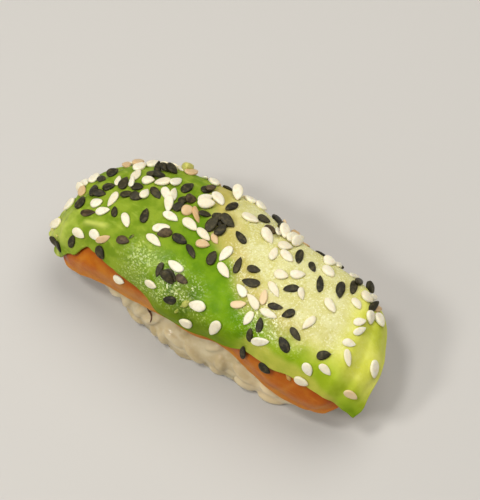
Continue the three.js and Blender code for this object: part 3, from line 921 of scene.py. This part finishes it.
def rice_material(name):
    m = Mat(name)
    P = m.place()
    rnd = m.attr("grain").outputs["Fac"]
    n1 = m.noise(P, 0.7, 2.0, 0.5)
    n2 = m.noise(P, 0.22, 2.0, 0.5)
    # painted shade: the rice is coloured a darker, browner beige than cooked rice, standing in for the shade it lies in
    col = m.mix(m.smooth(rnd, 0.1, 0.9), srgb(185, 166, 122), srgb(204, 189, 151))
    col = m.mix(m.times(m.smooth(n1, 0.42, 0.7), 0.35), col, srgb(222, 211, 182))
    col = m.mix(m.times(m.smooth(n2, 0.5, 0.7), 0.16), col, srgb(192, 170, 128))
    # paler at the left, lighter and warmer towards the right end
    col = m.mix(m.times(m.smooth(m.x_of(P), -10.0, 2.0), 0.22), col, srgb(222, 208, 172))
    col = m.mix(m.times(m.smooth(m.x_of(P), 4.0, 18.0), 0.70), col, srgb(228, 206, 164))
    nrm = m.bump(m.noise(P, 1.8, 2.0, 0.5), 0.25, 0.00016)
    return m.done(Base_Color=col, Roughness=m.mixf(n1, 0.34, 0.5), IOR=1.4, Normal=nrm, Subsurface_Weight=0.6,
                  Subsurface_Radius=(1.0, 0.85, 0.6), Subsurface_Scale=0.0011, Specular_IOR_Level=0.3,
                  Coat_Weight=0.6, Coat_Roughness=0.12, Coat_IOR=1.4)


finish(core, rice_material("rice_core_flesh"), "rice")
finish(grains, rice_material("rice_grain_flesh"), "rice", "rice")

# =====================================================================
# Camera at the photograph's angle
# =====================================================================
AZ, EL, DIST, FPX = 32.0, 60.0, 270.0, 1345.0
ORIGIN_PX = (241.0, 319.0)
az, el = math.radians(AZ), math.radians(EL)
back = np.array([math.sin(az) * math.cos(el), -math.cos(az) * math.cos(el), math.sin(el)])
right = np.array([math.cos(az), math.sin(az), 0.0])
up = np.cross(back, right)
cam_loc = (-right * (ORIGIN_PX[0] - 240) / FPX * DIST + up * (ORIGIN_PX[1] - 250) / FPX * DIST + back * DIST)
cd = bpy.data.cameras.new("camera")
cd.sensor_width = 36.0
cd.sensor_fit = "AUTO"
cd.lens = FPX * 36.0 / 500.0
cd.clip_start, cd.clip_end = 0.01, 20.0
cam = bpy.data.objects.new("camera", cd)
bpy.context.scene.collection.objects.link(cam)
R = Matrix([[right[i], up[i], back[i]] for i in range(3)]).to_4x4()
cam.matrix_world = Matrix.Translation(Vector(cam_loc) * MM) @ R
bpy.context.scene.camera = cam


def pixel_ray(x, y):
    d = -back + right * (x - 240) / FPX - up * (y - 250) / FPX
    return d / np.linalg.norm(d)


# =====================================================================
# Sesame seeds
# =====================================================================
# each seed that shows, undermost first: x, y, direction of its point, kind, length, width (pixels of the photograph)
SEEDS = """
153,158,20,w,15,9 164,153,60,w,14,8 166,161,-20,w,15,9 174,158,100,w,14,8 176,163,10,t,13,7 140,159,30,t,13,7 134,157,-40,t,12,7 194,157,75,w,12,6
125.8,219.9,-75,w,14.5,8.6 102.8,210.8,8,w,14.5,7.5 96.6,202.8,10,w,12,9 112.8,199.5,-123,w,18.4,7 67,202.8,-136,w,15.6,9
76.6,195.3,65,t,14,6 80.3,202,55,b,13.5,9 82,182.5,-5,w,15.5,9 80.5,187.5,-38,w,17,9.5 94.5,177.8,63,w,16.5,6.8
93.7,189.9,80,b,11.5,7.5 102,179,-20,b,10,5.5 112.8,173.3,20,b,12.5,8 108.6,186.6,10,b,10.5,6.5 100.3,194.1,10,b,11,6
117.8,180.8,75,w,9.5,4.5 123.7,182.8,67,b,20,8.5 126.6,194.1,5,b,13,6.5 136.2,196.2,-12,b,12.5,8 137,186.6,-10,b,11,7.5
87.8,212.8,3,n,14.5,7 114.3,211.6,90,b,9,5.5 78.7,233.3,-35,w,14,8.5 94.9,234.9,-45,w,10.5,9 103.2,239.1,22,t,13,7.5
122.8,239.9,-12,n,13,9 55.3,223.2,200,w,12.5,7 54.5,241.5,-60,b,11,7 58.5,246.5,-75,b,12,7 71.6,241.2,78,b,12.5,6.5
99.9,252.8,-66,b,15,8.5 139.9,166.2,25,w,13,6.5 136.2,174.5,53,w,17,8 131.5,181.5,80,w,10,4.5 148.3,179.9,5,w,12.5,8
162.8,181.6,192,w,17,8 176.2,182,35,w,13.5,7.5 166,193.5,-70,w,15,9 173.5,194,80,w,14,8 168.8,204,-95,w,15,9.5
155.8,192.8,-52,b,13.5,8.5 153.3,173.3,25,b,12,8 157.8,167,70,b,10,7 166.2,167.8,-8,b,15,7 159.5,174.5,10,b,12,8 172,169,-20,b,12,7
144.9,193.3,62,w,12.5,8 144.5,215.3,74,b,15.5,8.5 170.8,216.2,-27,w,16.5,8.5 161.2,227.8,5,w,18,8.5 164.5,232.8,192,n,16,8.5
154.1,239.9,-40,w,18,8.5 179.5,239.1,-30,b,16.5,9.5 187.4,187.4,35,b,13.5,8.5 197.8,174.5,114,w,19,10.5 212,177.4,-5,t,12,9.5
207,189.5,0,b,11.5,6 219.5,185.3,-35,b,10.5,7 211.2,187.4,15,n,10,5 184,199.5,25,b,10,7 191.2,198.7,15,n,13,8 178.7,207,30,b,11,8
187.8,209.9,10,t,12,9 196.2,214.5,-73,t,15.5,7 205.2,198.3,28,w,14.5,9 206.2,204.9,-2,w,18,9 218.7,198.3,-50,w,16.5,9.5
190.3,224.1,-42,w,18,10 203.7,234.1,-45,w,17.5,8.5 202.8,243.7,-8,t,14.5,9 214.5,238.7,-68,t,11.5,7 204.9,213.7,-5,b,12,6.5
219.5,222,-70,b,12,8 218.5,216.5,8,b,12,8 212,222.4,48,b,18,11 227.5,220.5,-40,b,17,10.5 221,230,40,b,15,9 231.6,206.6,210,b,16.5,7.5 231.6,183.7,110,w,13,6.5
236.6,194.9,-60,w,12,8.5 250.3,198.7,155,w,16,6.5 261.2,205.3,-38,w,9.5,7 250.3,217.8,-28,w,18.5,9 264.1,219.1,-33,b,14,6 270,213,-70,b,15,9 277,217,70,b,15,8.5
240.8,237.4,126,b,15.5,7.5 270.3,229.5,-40,n,11,7 267.4,236.2,-53,w,20,10 278.3,231.2,78,w,17.5,7.5 285,230.5,-65,w,13.5,8.5
292.8,226.2,-40,t,11,6 292.5,237,15,w,13.5,8 297,242,15,w,15,8.5 285.3,245.8,-12,w,15.5,7.5 287,255.8,-45,w,16,8 273.7,253.7,65,w,12.5,8.5
299.3,256.6,-102,b,16.5,8.5 225.5,253.8,228,w,19,9.5 211.6,257.8,65,b,15.5,10 237.8,265.3,68,b,17.5,7.5 253.7,269.1,-12,b,14,8
191.2,251.2,-64,b,16.5,7 223.7,270.3,-58,w,19.5,9.5 175.3,266.2,145,w,18,9.5 159.1,269.5,-114,b,16,6.5 171.2,275.3,-55,b,16,8
167.4,277,-52,b,17.5,11 181.6,279.5,-35,n,14,8.5 150.8,284.5,-25,w,12.5,7 118.6,280.2,-29,w,12.6,7.2 169.5,300.3,175,b,13.5,8.5
197,305.8,168,w,18,11 185.3,323.3,160,w,14,9.5 214.5,327.8,235,w,15.5,11 250.8,282.8,170,b,18.5,9 241.6,290.3,123,w,15,9
253.3,301.2,123,w,19,9 263.7,297,78,c,16,8 274.1,289.1,-58,w,18,8 275.3,306.6,-12,b,16,7 268.7,313.7,-26,w,18.5,8
238.3,304.5,3,c,16,8.5 248.3,318.3,236,w,16,8.5 259.7,325,78,b,15.5,7.5 291.2,288.3,185,b,16.5,8 288.3,313.7,200,b,14.5,8.5
308.9,322.8,222,w,17.5,8.5 281.2,274.5,-20,w,15,9.5 297.8,274.5,0,w,16,8.5 301.2,293.7,-80,w,12,6.5 312.4,266.8,-70,b,9,5 320.1,283.7,88,b,20,7.5
340.3,289.9,-100,b,17,9.5 353.7,287.4,-102,b,15,8 328.7,271.2,-45,w,14.5,8 339.9,262,58,w,14.5,8.5 331.2,259.5,-30,w,9,6
356.6,272,0,w,11,4 357,275.3,-30,b,13,5 364.5,282,0,w,5,4 368.7,286.2,25,b,13,8 367.4,297,-43,w,15,8 372.4,291.2,0,t,6,4
375.3,305.3,65,b,12.5,6.5 357,303.3,-55,w,13,7.5 330.3,305.3,-58,w,17,8.5 370.8,317.4,-82,w,14.5,8
380.3,319.5,-65,w,15.5,6.5 359.9,321.6,8,w,12.5,8 359.9,330.8,25,w,13,7.5 349.1,342.8,-12,w,13.5,8
347.8,357.8,-83,w,18,7 374.5,369.1,-94,w,18.5,8.5 323.7,354.9,12,b,15,9.5 307.4,369.5,-70,w,14.5,9.5 325.3,369.5,-45,w,15.5,8
301.2,381.6,-25,w,15.5,9.5 350.8,394.9,-30,c,15,8 249.5,334.9,82,b,14.5,7 260.3,341.6,-2,w,18.5,9 242.8,352,80,b,14,5
265.3,367.4,-42,b,15,7.5 284.1,344.5,116,b,18,10 295.3,334.1,-55,b,16.5,7.5
"""
KINDS = {"w": "sesame_white", "t": "sesame_tan", "n": "sesame_brown", "b": "sesame_black"}


def seed_shape(rng, kind, L, W):
    """A flat drop, round at one end and drawn to a point at the other, which lies towards +x. In mm."""
    H = W * rng.uniform(0.37, 0.46)
    if kind in "bn":
        H *= 0.92
    nu, nv = 20, 14
    u = (1 - np.cos(np.pi * np.arange(1, nv) / nv)) / 2
    peak = rng.uniform(0.36, 0.43)
    s = np.clip((u - peak) / (1 - peak), 0, 1)
    wide = np.where(u < peak, np.sqrt(np.clip(1 - (1 - u / peak) ** 2, 0, 1)), (1 - s ** 2) ** rng.uniform(0.68, 0.88))
    g = 2 * np.pi * np.arange(nu) / nu
    c, sn = np.cos(g), np.sin(g)
    yy = np.sign(c) * np.abs(c) ** 0.92
    zz = np.sign(sn) * np.abs(sn) ** 0.70
    v = [(-L / 2, 0, 0)]
    dent = rng.uniform(0.02, 0.16) if kind in "bn" else rng.uniform(0.02, 0.20)
    for ui, wi in zip(u, wide):
        high = wi ** 0.75
        for y, z in zip(yy, zz):
            low = dent * math.exp(-((y / 0.5) ** 2)) * (z > 0) * wi
            v.append(((ui - 0.5) * L, y * wi * W / 2, z * (1 - low) * high * H / 2))
    v.append((L / 2, 0, 0))
    v = np.array(v)
    # slight bow and unevenness
    k = v[:, 0] / (L / 2)
    v[:, 2] += rng.uniform(-0.05, 0.09) * k ** 2
    v[:, 1] += rng.uniform(-0.14, 0.14) * k ** 2
    v = v + 0.06 * fractal(v + rng.uniform(0, 90, 3), 0.8, 7, 2)[:, None] * np.array([0.3, 1, 0.8])
    f = []
    last, o = len(v) - 1, 1 + (nv - 2) * nu
    for k in range(nu):
        f.append((0, 1 + (k + 1) % nu, 1 + k))
        f.append((last, o + k, o + (k + 1) % nu))
    for i in range(nv - 2):
        for k in range(nu):
            a_, b_ = 1 + i * nu + k, 1 + i * nu + (k + 1) % nu
            f += [(a_, b_, b_ + nu), (a_, b_ + nu, a_ + nu)]
    f = np.array(f)
    return v, f, H


slices = tree_of([(avo_v, avo_f), (sal_v, sal_f)])
safe = KDTree(len(avo_top))
for i in avo_top:
    safe.insert(avo_v[i], int(i))
safe.balance()
avo_n = vertex_normals(avo_v, avo_f)
SINK = 0.13
FAR_ROOM, TOP_ROOM = 16.2, 23.85


def facing(n, away):
    n = np.array(n)
    return -n if n @ away > 0 else n


def photo_spots():
    """Where the photographed seeds lie: carrier point, its normal, view direction, long direction, size."""
    out = []
    for item in SEEDS.split():
        x, y, ang, kind, lp, wp = item.split(",")
        x, y, ang, lp, wp = float(x), float(y), math.radians(float(ang)), float(lp), float(wp)
        ray = pixel_ray(x, y)
        hit, n, _, _ = slices.ray_cast(Vector(cam_loc), Vector(ray))
        if hit is None:
            # just past the contour: taken to the nearest place of the slice
            best = None
            for depth in np.arange(DIST - 40, DIST + 25, 0.8):
                q = cam_loc + ray * depth
                h_, i_, d_ = safe.find(Vector(q))
                if best is None or d_ < best[0]:
                    best = (d_, np.array(h_), avo_n[i_])
            off = best[0] * FPX / DIST
            if off > 27:
                print("seed off the slice by", round(off, 1), "px:", item)
                continue
            p, n = best[1], best[2]
            seen = False
        else:
            p, n, seen = np.array(hit), facing(hit and n, ray), True
        along = math.cos(ang) * right + math.sin(ang) * up
        across = -math.sin(ang) * right + math.cos(ang) * up
        vn = ray @ n
        if abs(vn) < 0.34:
            vn = -0.34
        depth = np.linalg.norm(p - cam_loc)
        da = along - ray * (along @ n) / vn
        dw = across - ray * (across @ n) / vn
        # true size from the pixel size, within what sesame measures
        L = np.clip(lp * depth / FPX * np.linalg.norm(da), 2.6, 3.7)
        W = np.clip(wp * depth / FPX * np.linalg.norm(np.cross(dw, da)) / np.linalg.norm(da), 1.35, 2.2)
        # where the slice turns away, heaped seeds lean out of the slope
        lean = -ray if abs(ray @ n) < 0.42 else None
        out.append((p, n, ray if seen else None, da / np.linalg.norm(da), kind, float(L), float(W), lean))
    return out


def hidden_spots(rng, taken):
    """The far side, which the photograph doesn't show, strewn alike."""
    far, on_salmon = [], 0
    for _ in range(6000):
        a, b = rng.uniform(-34, 27), rng.uniform(1, 13.5)
        top, foot = drape(a, b, 12.0), drape(a, b, 0)
        d = (foot - top) / np.linalg.norm(foot - top)
        hit, n, _, _ = slices.ray_cast(Vector(top), Vector(d))
        if hit is None:
            continue
        p, n = np.array(hit), facing(n, d)
        v = (cam_loc - p) / np.linalg.norm(cam_loc - p)
        if n @ v > -0.12:      # seen from the photograph's place: the list above covers it
            continue
        dense = 0.35 + 0.65 * float(smooth(4, -14, a))
        if rng.random() > dense:
            continue
        low = b > profile(AVOCADO_OUTLINE["far"], a) - 0.4
        if low and (on_salmon >= 5 or rng.random() < 0.6):
            continue
        clear = 2.0 if rng.random() < 0.25 * dense else 3.1
        if any(np.linalg.norm(p - q[0]) < clear for q in far) or any(np.linalg.norm(p - q[0]) < 2.4 for q in taken):
            continue
        on_salmon += low
        r = rng.random()
        kind = "w" if r < 0.54 else "b" if r < 0.84 else "t" if r < 0.91 else "n" if r < 0.96 else "c"
        th = rng.uniform(0, 2 * math.pi)
        x, y, z = frame_of(n, np.array([1.0, 0.1, 0]))
        far.append((p, n, None, x * math.cos(th) + y * math.sin(th), kind, float(rng.uniform(2.8, 3.5)), float(rng.uniform(1.55, 2.0)), None))
        if len(far) >= 62:
            break
    return far


laid = []      # centre, vertices, faces of every seed so far


def turned(x, y, n, pitch, roll):
    x2 = x * math.cos(pitch) + n * math.sin(pitch)
    n2 = n * math.cos(pitch) - x * math.sin(pitch)
    y2 = y * math.cos(roll) + n2 * math.sin(roll)
    n3 = n2 * math.cos(roll) - y * math.sin(roll)
    return x2, y2, n3


def lay(v, f, H, p, n, ray, along, lean, rng):
    """Lets a seed down on the slices and on the seeds that already lie there, leaning as it comes to rest."""
    x, y, z = frame_of(n, along)
    under = np.where(v[:, 2] < 0.02)[0][::3]
    if ray is None and lean is not None:
        best = None
        for da in (0.0, -1.8, 1.8, -3.4, 3.4):
            for db in (0.0, -1.6, 1.6):
                side_ = np.cross(n, lean)
                side_ /= np.linalg.norm(side_)
                h_, i_, _ = safe.find(Vector(p + side_ * da + np.cross(side_, n) * db))
                h_, n_ = np.array(h_), avo_n[i_]
                crowd = sum(max(0.0, 2.9 - np.linalg.norm(s[0] - h_)) for s in laid)
                cost = crowd + 0.22 * math.hypot(da, db)
                if best is None or cost < best[0]:
                    best = (cost, h_, n_)
        p, n = best[1], best[2]
        x, y, z = frame_of(n, along)
    near = [s for s in laid if np.linalg.norm(s[0] - p) < 4.3]
    tree = tree_of([(s[1], s[2]) for s in near]) if near else None
    lift, base = H * 0.5 - SINK, p
    tilt0, roll0 = rng.normal(0, 0.05), rng.normal(0, 0.06)
    for _ in range(3 if tree else 2):
        if ray is not None:
            # the seed's middle, not its foot, shows at the photographed place
            c = p - ray * (lift / max(abs(ray @ n), 0.45))
            base = c - n * lift
        best = None
        if lean is None:
            angles = (-0.42, -0.2, 0.0, 0.2, 0.42) if tree else (0.0,)
        else:
            angles = (-0.62, -0.42, -0.2, 0.0, 0.2, 0.42, 0.62) if tree else (-0.42, -0.22, 0.0, 0.22, 0.42)
        for pi_ in angles:
            for ro in angles:
                x2, y2, z2 = turned(x, y, n, pi_ + tilt0, ro + roll0)
                q = base + v[under, :1] * x2 + v[under, 1:2] * y2 + v[under, 2:3] * z2
                need = -9.0
                for w in q:
                    top = Vector(w + n * 5)
                    h1 = slices.ray_cast(top, Vector(-n), 9.0)[0]
                    if h1 is not None:
                        need = max(need, float((np.array(h1) - w) @ n) - SINK)
                    if tree:
                        h2 = tree.ray_cast(top, Vector(-n), 9.0)[0]
                        if h2 is not None:
                            need = max(need, float((np.array(h2) - w) @ n) + 0.01)
                cost = need + 0.25 * (pi_ ** 2 + ro ** 2) - (0.0 if lean is None else 1.2 * float(z2 @ lean))
                ends = base + n * need + v[::9, :1] * x2 + v[::9, 1:2] * y2 + v[::9, 2:3] * z2
                cost += 4.0 * max(0.0, float(ends[:, 1].max()) - FAR_ROOM) + 4.0 * max(0.0, float(ends[:, 2].max()) - TOP_ROOM)
                if best is None or cost < best[0]:
                    best = (cost, need, pi_, ro)
        lift = max(best[1], -0.3)
    x2, y2, z2 = turned(x, y, n, best[2] + tilt0, best[3] + roll0)
    w = base + n * lift + v[:, :1] * x2 + v[:, 1:2] * y2 + v[:, 2:3] * z2
    # pressed a little deeper into the soft flesh, or into the heap
    over = max(min(float(w[:, 1].max()) - FAR_ROOM, 0.30), min(float(w[:, 2].max()) - TOP_ROOM, 0.48))
    if over > 0:
        w = w - n * over
    laid.append((base + n * lift, w, f))
    return w


rng = np.random.default_rng(77)
spots = photo_spots()
n_seen = len(spots)
spots += hidden_spots(np.random.default_rng(78), spots)
parts = {k: ([], [], [], 0) for k in KINDS}
for p, n, ray, along, kind, L, W, lean in spots:
    v, f, H = seed_shape(rng, kind, L, W)
    w = lay(v, f, H, p, n, ray, along, lean, rng)
    shade = rng.random() * 0.55
    if kind == "c":
        kind, shade = "t", rng.uniform(0.85, 1.0)
    V, F, A, off = parts[kind]
    V.append(w)
    F.append(f + off)
    A.append(np.column_stack([v[:, 0] / (L / 2), v[:, 1] / (W / 2), np.full(len(v), shade)]))
    parts[kind] = (V, F, A, off + len(w))
print("seeds", len(spots), "seen", n_seen, {k: len(parts[k][0]) for k in parts})


def seed_material(kind):
    m = Mat(KINDS[kind] + "_coat")
    P = m.place()
    u, v, rnd = m.three("seed")
    mid = m.noise(P, 1.3, 2.0, 0.5)
    fine = m.noise(P, 5.0, 2.0, 0.6)
    tip = m.smooth(u, 0.72, 1.0)
    edge = m.smooth(m.math("ABSOLUTE", v), 0.5, 0.95)
    if kind == "w":
        col = m.mix(m.times(rnd, 1.8), srgb(233, 224, 194), srgb(242, 237, 216))
        col = m.mix(m.times(m.smooth(mid, 0.42, 0.7), 0.45), col, srgb(220, 207, 174))
        col = m.mix(m.times(edge, 0.45), col, srgb(244, 239, 206))
        col = m.mix(m.times(tip, 0.35), col, srgb(220, 200, 160))
        ss, rough, bs = 0.30, 0.40, 0.30
    elif kind == "t":
        col = m.mix(rnd, srgb(200, 160, 104), srgb(230, 207, 164))
        col = m.mix(m.times(m.smooth(mid, 0.4, 0.7), 0.35), col, srgb(220, 198, 158))
        col = m.mix(m.times(edge, 0.3), col, srgb(222, 184, 132))
        col = m.mix(m.times(tip, 0.45), col, srgb(190, 142, 92))
        ss, rough, bs = 0.22, 0.40, 0.30
    elif kind == "n":
        col = m.mix(rnd, srgb(54, 42, 23), srgb(79, 63, 39))
        col = m.mix(m.times(m.smooth(mid, 0.42, 0.66), 0.6), col, srgb(110, 92, 60))
        ss, rough, bs = 0.0, 0.46, 0.6
    else:
        col = m.mix(m.times(rnd, 1.8), srgb(28, 26, 8), srgb(54, 49, 26))
        # lighter mottling on the black seeds: partly their own tone, partly painted highlights
        col = m.mix(m.times(m.smooth(mid, 0.46, 0.68), 0.55), col, srgb(92, 84, 52))
        # painted shade: darker along the black seeds' rounded edges
        col = m.mix(m.times(edge, 0.5), col, srgb(18, 16, 5))
        ss, rough, bs = 0.0, 0.46, 0.7
    nrm = m.bump(m.plus(fine, m.times(mid, 0.6)), bs, 0.00013)
    return m.done(Base_Color=col, Roughness=m.mixf(fine, rough - 0.06, rough + 0.12), Normal=nrm, IOR=1.46,
                  Specular_IOR_Level=0.34 if kind in "bn" else 0.5,
                  Subsurface_Weight=ss, Subsurface_Radius=(1.0, 0.8, 0.5), Subsurface_Scale=0.0005)


for kind, (V, F, A, off) in parts.items():
    ob = make_mesh(KINDS[kind], np.concatenate(V), np.concatenate(F))
    set_vector(ob, "seed", np.concatenate(A))
    finish(ob, seed_material(kind), "avocado")


# =====================================================================
# Torn bits of avocado, a crumb and a dark tube of painted shadow, each where the photograph shows it
# =====================================================================
def on_slice(x, y, tree):
    ray = pixel_ray(x, y)
    hit, n, _, _ = tree.ray_cast(Vector(cam_loc), Vector(ray))
    if hit is None:
        return None, None, None
    return np.array(hit), facing(n, ray), ray


# x, y, direction, length, width, height (mm), shade: 0 green, 1 cream
BITS = """
186,168,20,2.7,2.3,2.4,0.75 185,304,30,1.5,1.1,0.5,0.45 188,302.5,80,0.8,0.7,0.4,0.5 182.5,306,10,0.8,0.5,0.35,0.4 176.5,311,50,1.1,0.7,0.25,0.2
131.6,236.6,30,1.1,0.7,0.3,-1
53,229.5,170,1.6,0.7,0.5,1.0 57,236,200,1.1,0.6,0.4,0.8 59.5,218,150,1.0,0.5,0.4,0.7
113,171,10,1.8,0.9,0.5,0.6 288.5,377,-62,1.7,0.8,0.5,2.0 249,222,90,0.9,0.3,0.3,1.0
"""


def build_bits():
    sv, st = unit_ellipsoid(14, 10)
    tree = tree_of([(avo_v, avo_f), (sal_v, sal_f)])
    rng_ = np.random.default_rng(5)
    V, F, S = [], [], []
    for item in BITS.split():
        x, y, ang, L, W, H, shade = (float(q) for q in item.split(","))
        p, n, ray = on_slice(x, y, tree)
        if p is None:
            for k in range(1, 16):
                p, n, ray = on_slice(x + 0.35 * k, y + k, tree)
                if p is not None:
                    break
        if p is None:
            print("bit misses", item)
            continue
        ang = math.radians(ang)
        d = math.cos(ang) * right + math.sin(ang) * up
        bx, by, bz = frame_of(n, d - ray * (d @ n) / min(ray @ n, -0.3))
        q = sv * np.array([L, W, H]) / 2
        q = q * (1 + 0.55 * fractal(sv * 1.3 + rng_.uniform(0, 90, 3), 1.0, 3, 3))[:, None]
        V.append(p + n * H * (0.30 if H > 2 else 0.16) + q[:, :1] * bx + q[:, 1:2] * by + q[:, 2:3] * bz)
        F.append(st + len(st) * 0 + sum(len(k) for k in V[:-1]))
        S.append(np.full(len(sv), shade))
    ob = make_mesh("avocado_bits", np.concatenate(V), np.concatenate(F))
    set_float(ob, "shade", np.concatenate(S))
    m = Mat("avocado_bits_flesh")
    P = m.place()
    s = m.attr("shade").outputs["Fac"]
    n1 = m.noise(P, 1.6, 2.0, 0.6)
    col = m.mix(s, srgb(132, 150, 40), srgb(214, 208, 120))
    col = m.mix(m.smooth(s, 0.0, -0.8), col, srgb(40, 62, 12))
    col = m.mix(m.smooth(s, 1.2, 1.8), col, srgb(196, 146, 84))
    col = m.mix(m.times(m.smooth(n1, 0.45, 0.7), 0.5), col, srgb(180, 176, 70))
    nrm = m.bump(m.noise(P, 2.6, 2.0, 0.6), 0.6, 0.00012)
    mat = m.done(Base_Color=col, Roughness=m.mixf(n1, 0.3, 0.45), IOR=1.42, Normal=nrm, Subsurface_Weight=0.3,
                 Subsurface_Radius=(1.0, 0.9, 0.3), Subsurface_Scale=0.001)
    finish(ob, mat, "avocado")


def build_painted_notch_shadow():
    """A thin dark-brown tube of painted shadow for a shaded notch in the salmon's near edge, hanging from under the
    salmon over the rice.
    """
    tree = tree_of([(gr_v, gr_f), (core_v, rice_f), (sal_v, sal_f)])
    pts = []
    for x, y in ((147.6, 308.4), (149.2, 310.6), (150.8, 313.2), (151.9, 316.2), (151.8, 319.2), (150.6, 322.0)):
        p, n, ray = on_slice(x, y, tree)
        if p is not None:
            pts.append(p + n * 0.12)
    pts = np.array(pts)
    t = np.linspace(0, len(pts) - 1, 22)
    c = np.column_stack([np.interp(t, np.arange(len(pts)), pts[:, k]) for k in range(3)])
    for _ in range(4):
        c[1:-1] = (c[:-2] + 2 * c[1:-1] + c[2:]) / 4
    V, F, k = [], [], 10
    for i, p in enumerate(c):
        d = c[min(i + 1, len(c) - 1)] - c[max(i - 1, 0)]
        x, y, z = frame_of(d, np.array([0.0, 0.3, 1.0]))
        r = 0.20 * min(1.0, 0.35 + 1.3 * math.sin(math.pi * (i + 0.5) / len(c)))
        V += [p + r * (math.cos(g) * x + 0.7 * math.sin(g) * y) for g in 2 * np.pi * np.arange(k) / k]
    V += [c[0], c[-1]]
    for i in range(len(c) - 1):
        for j in range(k):
            a_, b_ = i * k + j, i * k + (j + 1) % k
            F += [(a_, b_, b_ + k), (a_, b_ + k, a_ + k)]
    for j in range(k):
        F.append((len(c) * k, (j + 1) % k, j))
        F.append((len(c) * k + 1, (len(c) - 1) * k + j, (len(c) - 1) * k + (j + 1) % k))
    ob = make_mesh("painted_notch_shadow", np.array(V), np.array(F))
    m = Mat("painted_notch_shadow_brown")
    P = m.place()
    n1 = m.noise(P, 2.0, 2.0, 0.6)
    mat = m.done(Base_Color=m.mix(n1, srgb(74, 36, 18), srgb(120, 66, 34)), Roughness=m.mixf(n1, 0.35, 0.55),
                 Normal=m.bump(n1, 0.4, 0.00008))
    finish(ob, mat, "salmon")


build_bits()
build_painted_notch_shadow()

# =====================================================================
# Stage and light
# =====================================================================
floor = make_mesh("floor", [(-3000, -3000, 0), (3000, -3000, 0), (3000, 3000, 0), (-3000, 3000, 0)], [(0, 1, 2, 3)], False)
floor.location.z = -0.00002
m = Mat("floor_paper")
floor.data.materials.append(m.done(Base_Color=srgb(196, 194, 190), Roughness=0.85))


def area(name, place, size, power, target=(0, 0, 0.012), color=(1, 1, 1), shape="DISK"):
    ld = bpy.data.lights.new(name, "AREA")
    ld.shape = shape
    ld.size = size
    ld.energy = power
    ld.color = color
    ob = bpy.data.objects.new(name, ld)
    bpy.context.scene.collection.objects.link(ob)
    p, t = Vector(place), Vector(target)
    ob.matrix_world = Matrix.Translation(p) @ (p - t).to_track_quat("Z", "Y").to_matrix().to_4x4()
    return ob


area("key", (0.04, 0.29, 0.62), 0.60, 2.75, color=(1.0, 0.97, 0.92))
area("glint_a", (-0.125, -0.165, 0.60), 0.115, 1.25, color=(1.0, 0.97, 0.93))
area("glint_b", (-0.245, -0.350, 0.49), 0.115, 1.25, color=(1.0, 0.97, 0.93))
area("fill", (-0.10, -0.55, 0.42), 0.45, 0.6, color=(1.0, 0.97, 0.93))
world = bpy.data.worlds.new("studio")
world.use_nodes = True
bg = world.node_tree.nodes["Background"]
bg.inputs[0].default_value = (1.0, 0.985, 0.96, 1)
bg.inputs[1].default_value = 0.18
bpy.context.scene.world = world
sc = bpy.context.scene
sc.view_settings.view_transform = "Standard"
sc.view_settings.look = "None"
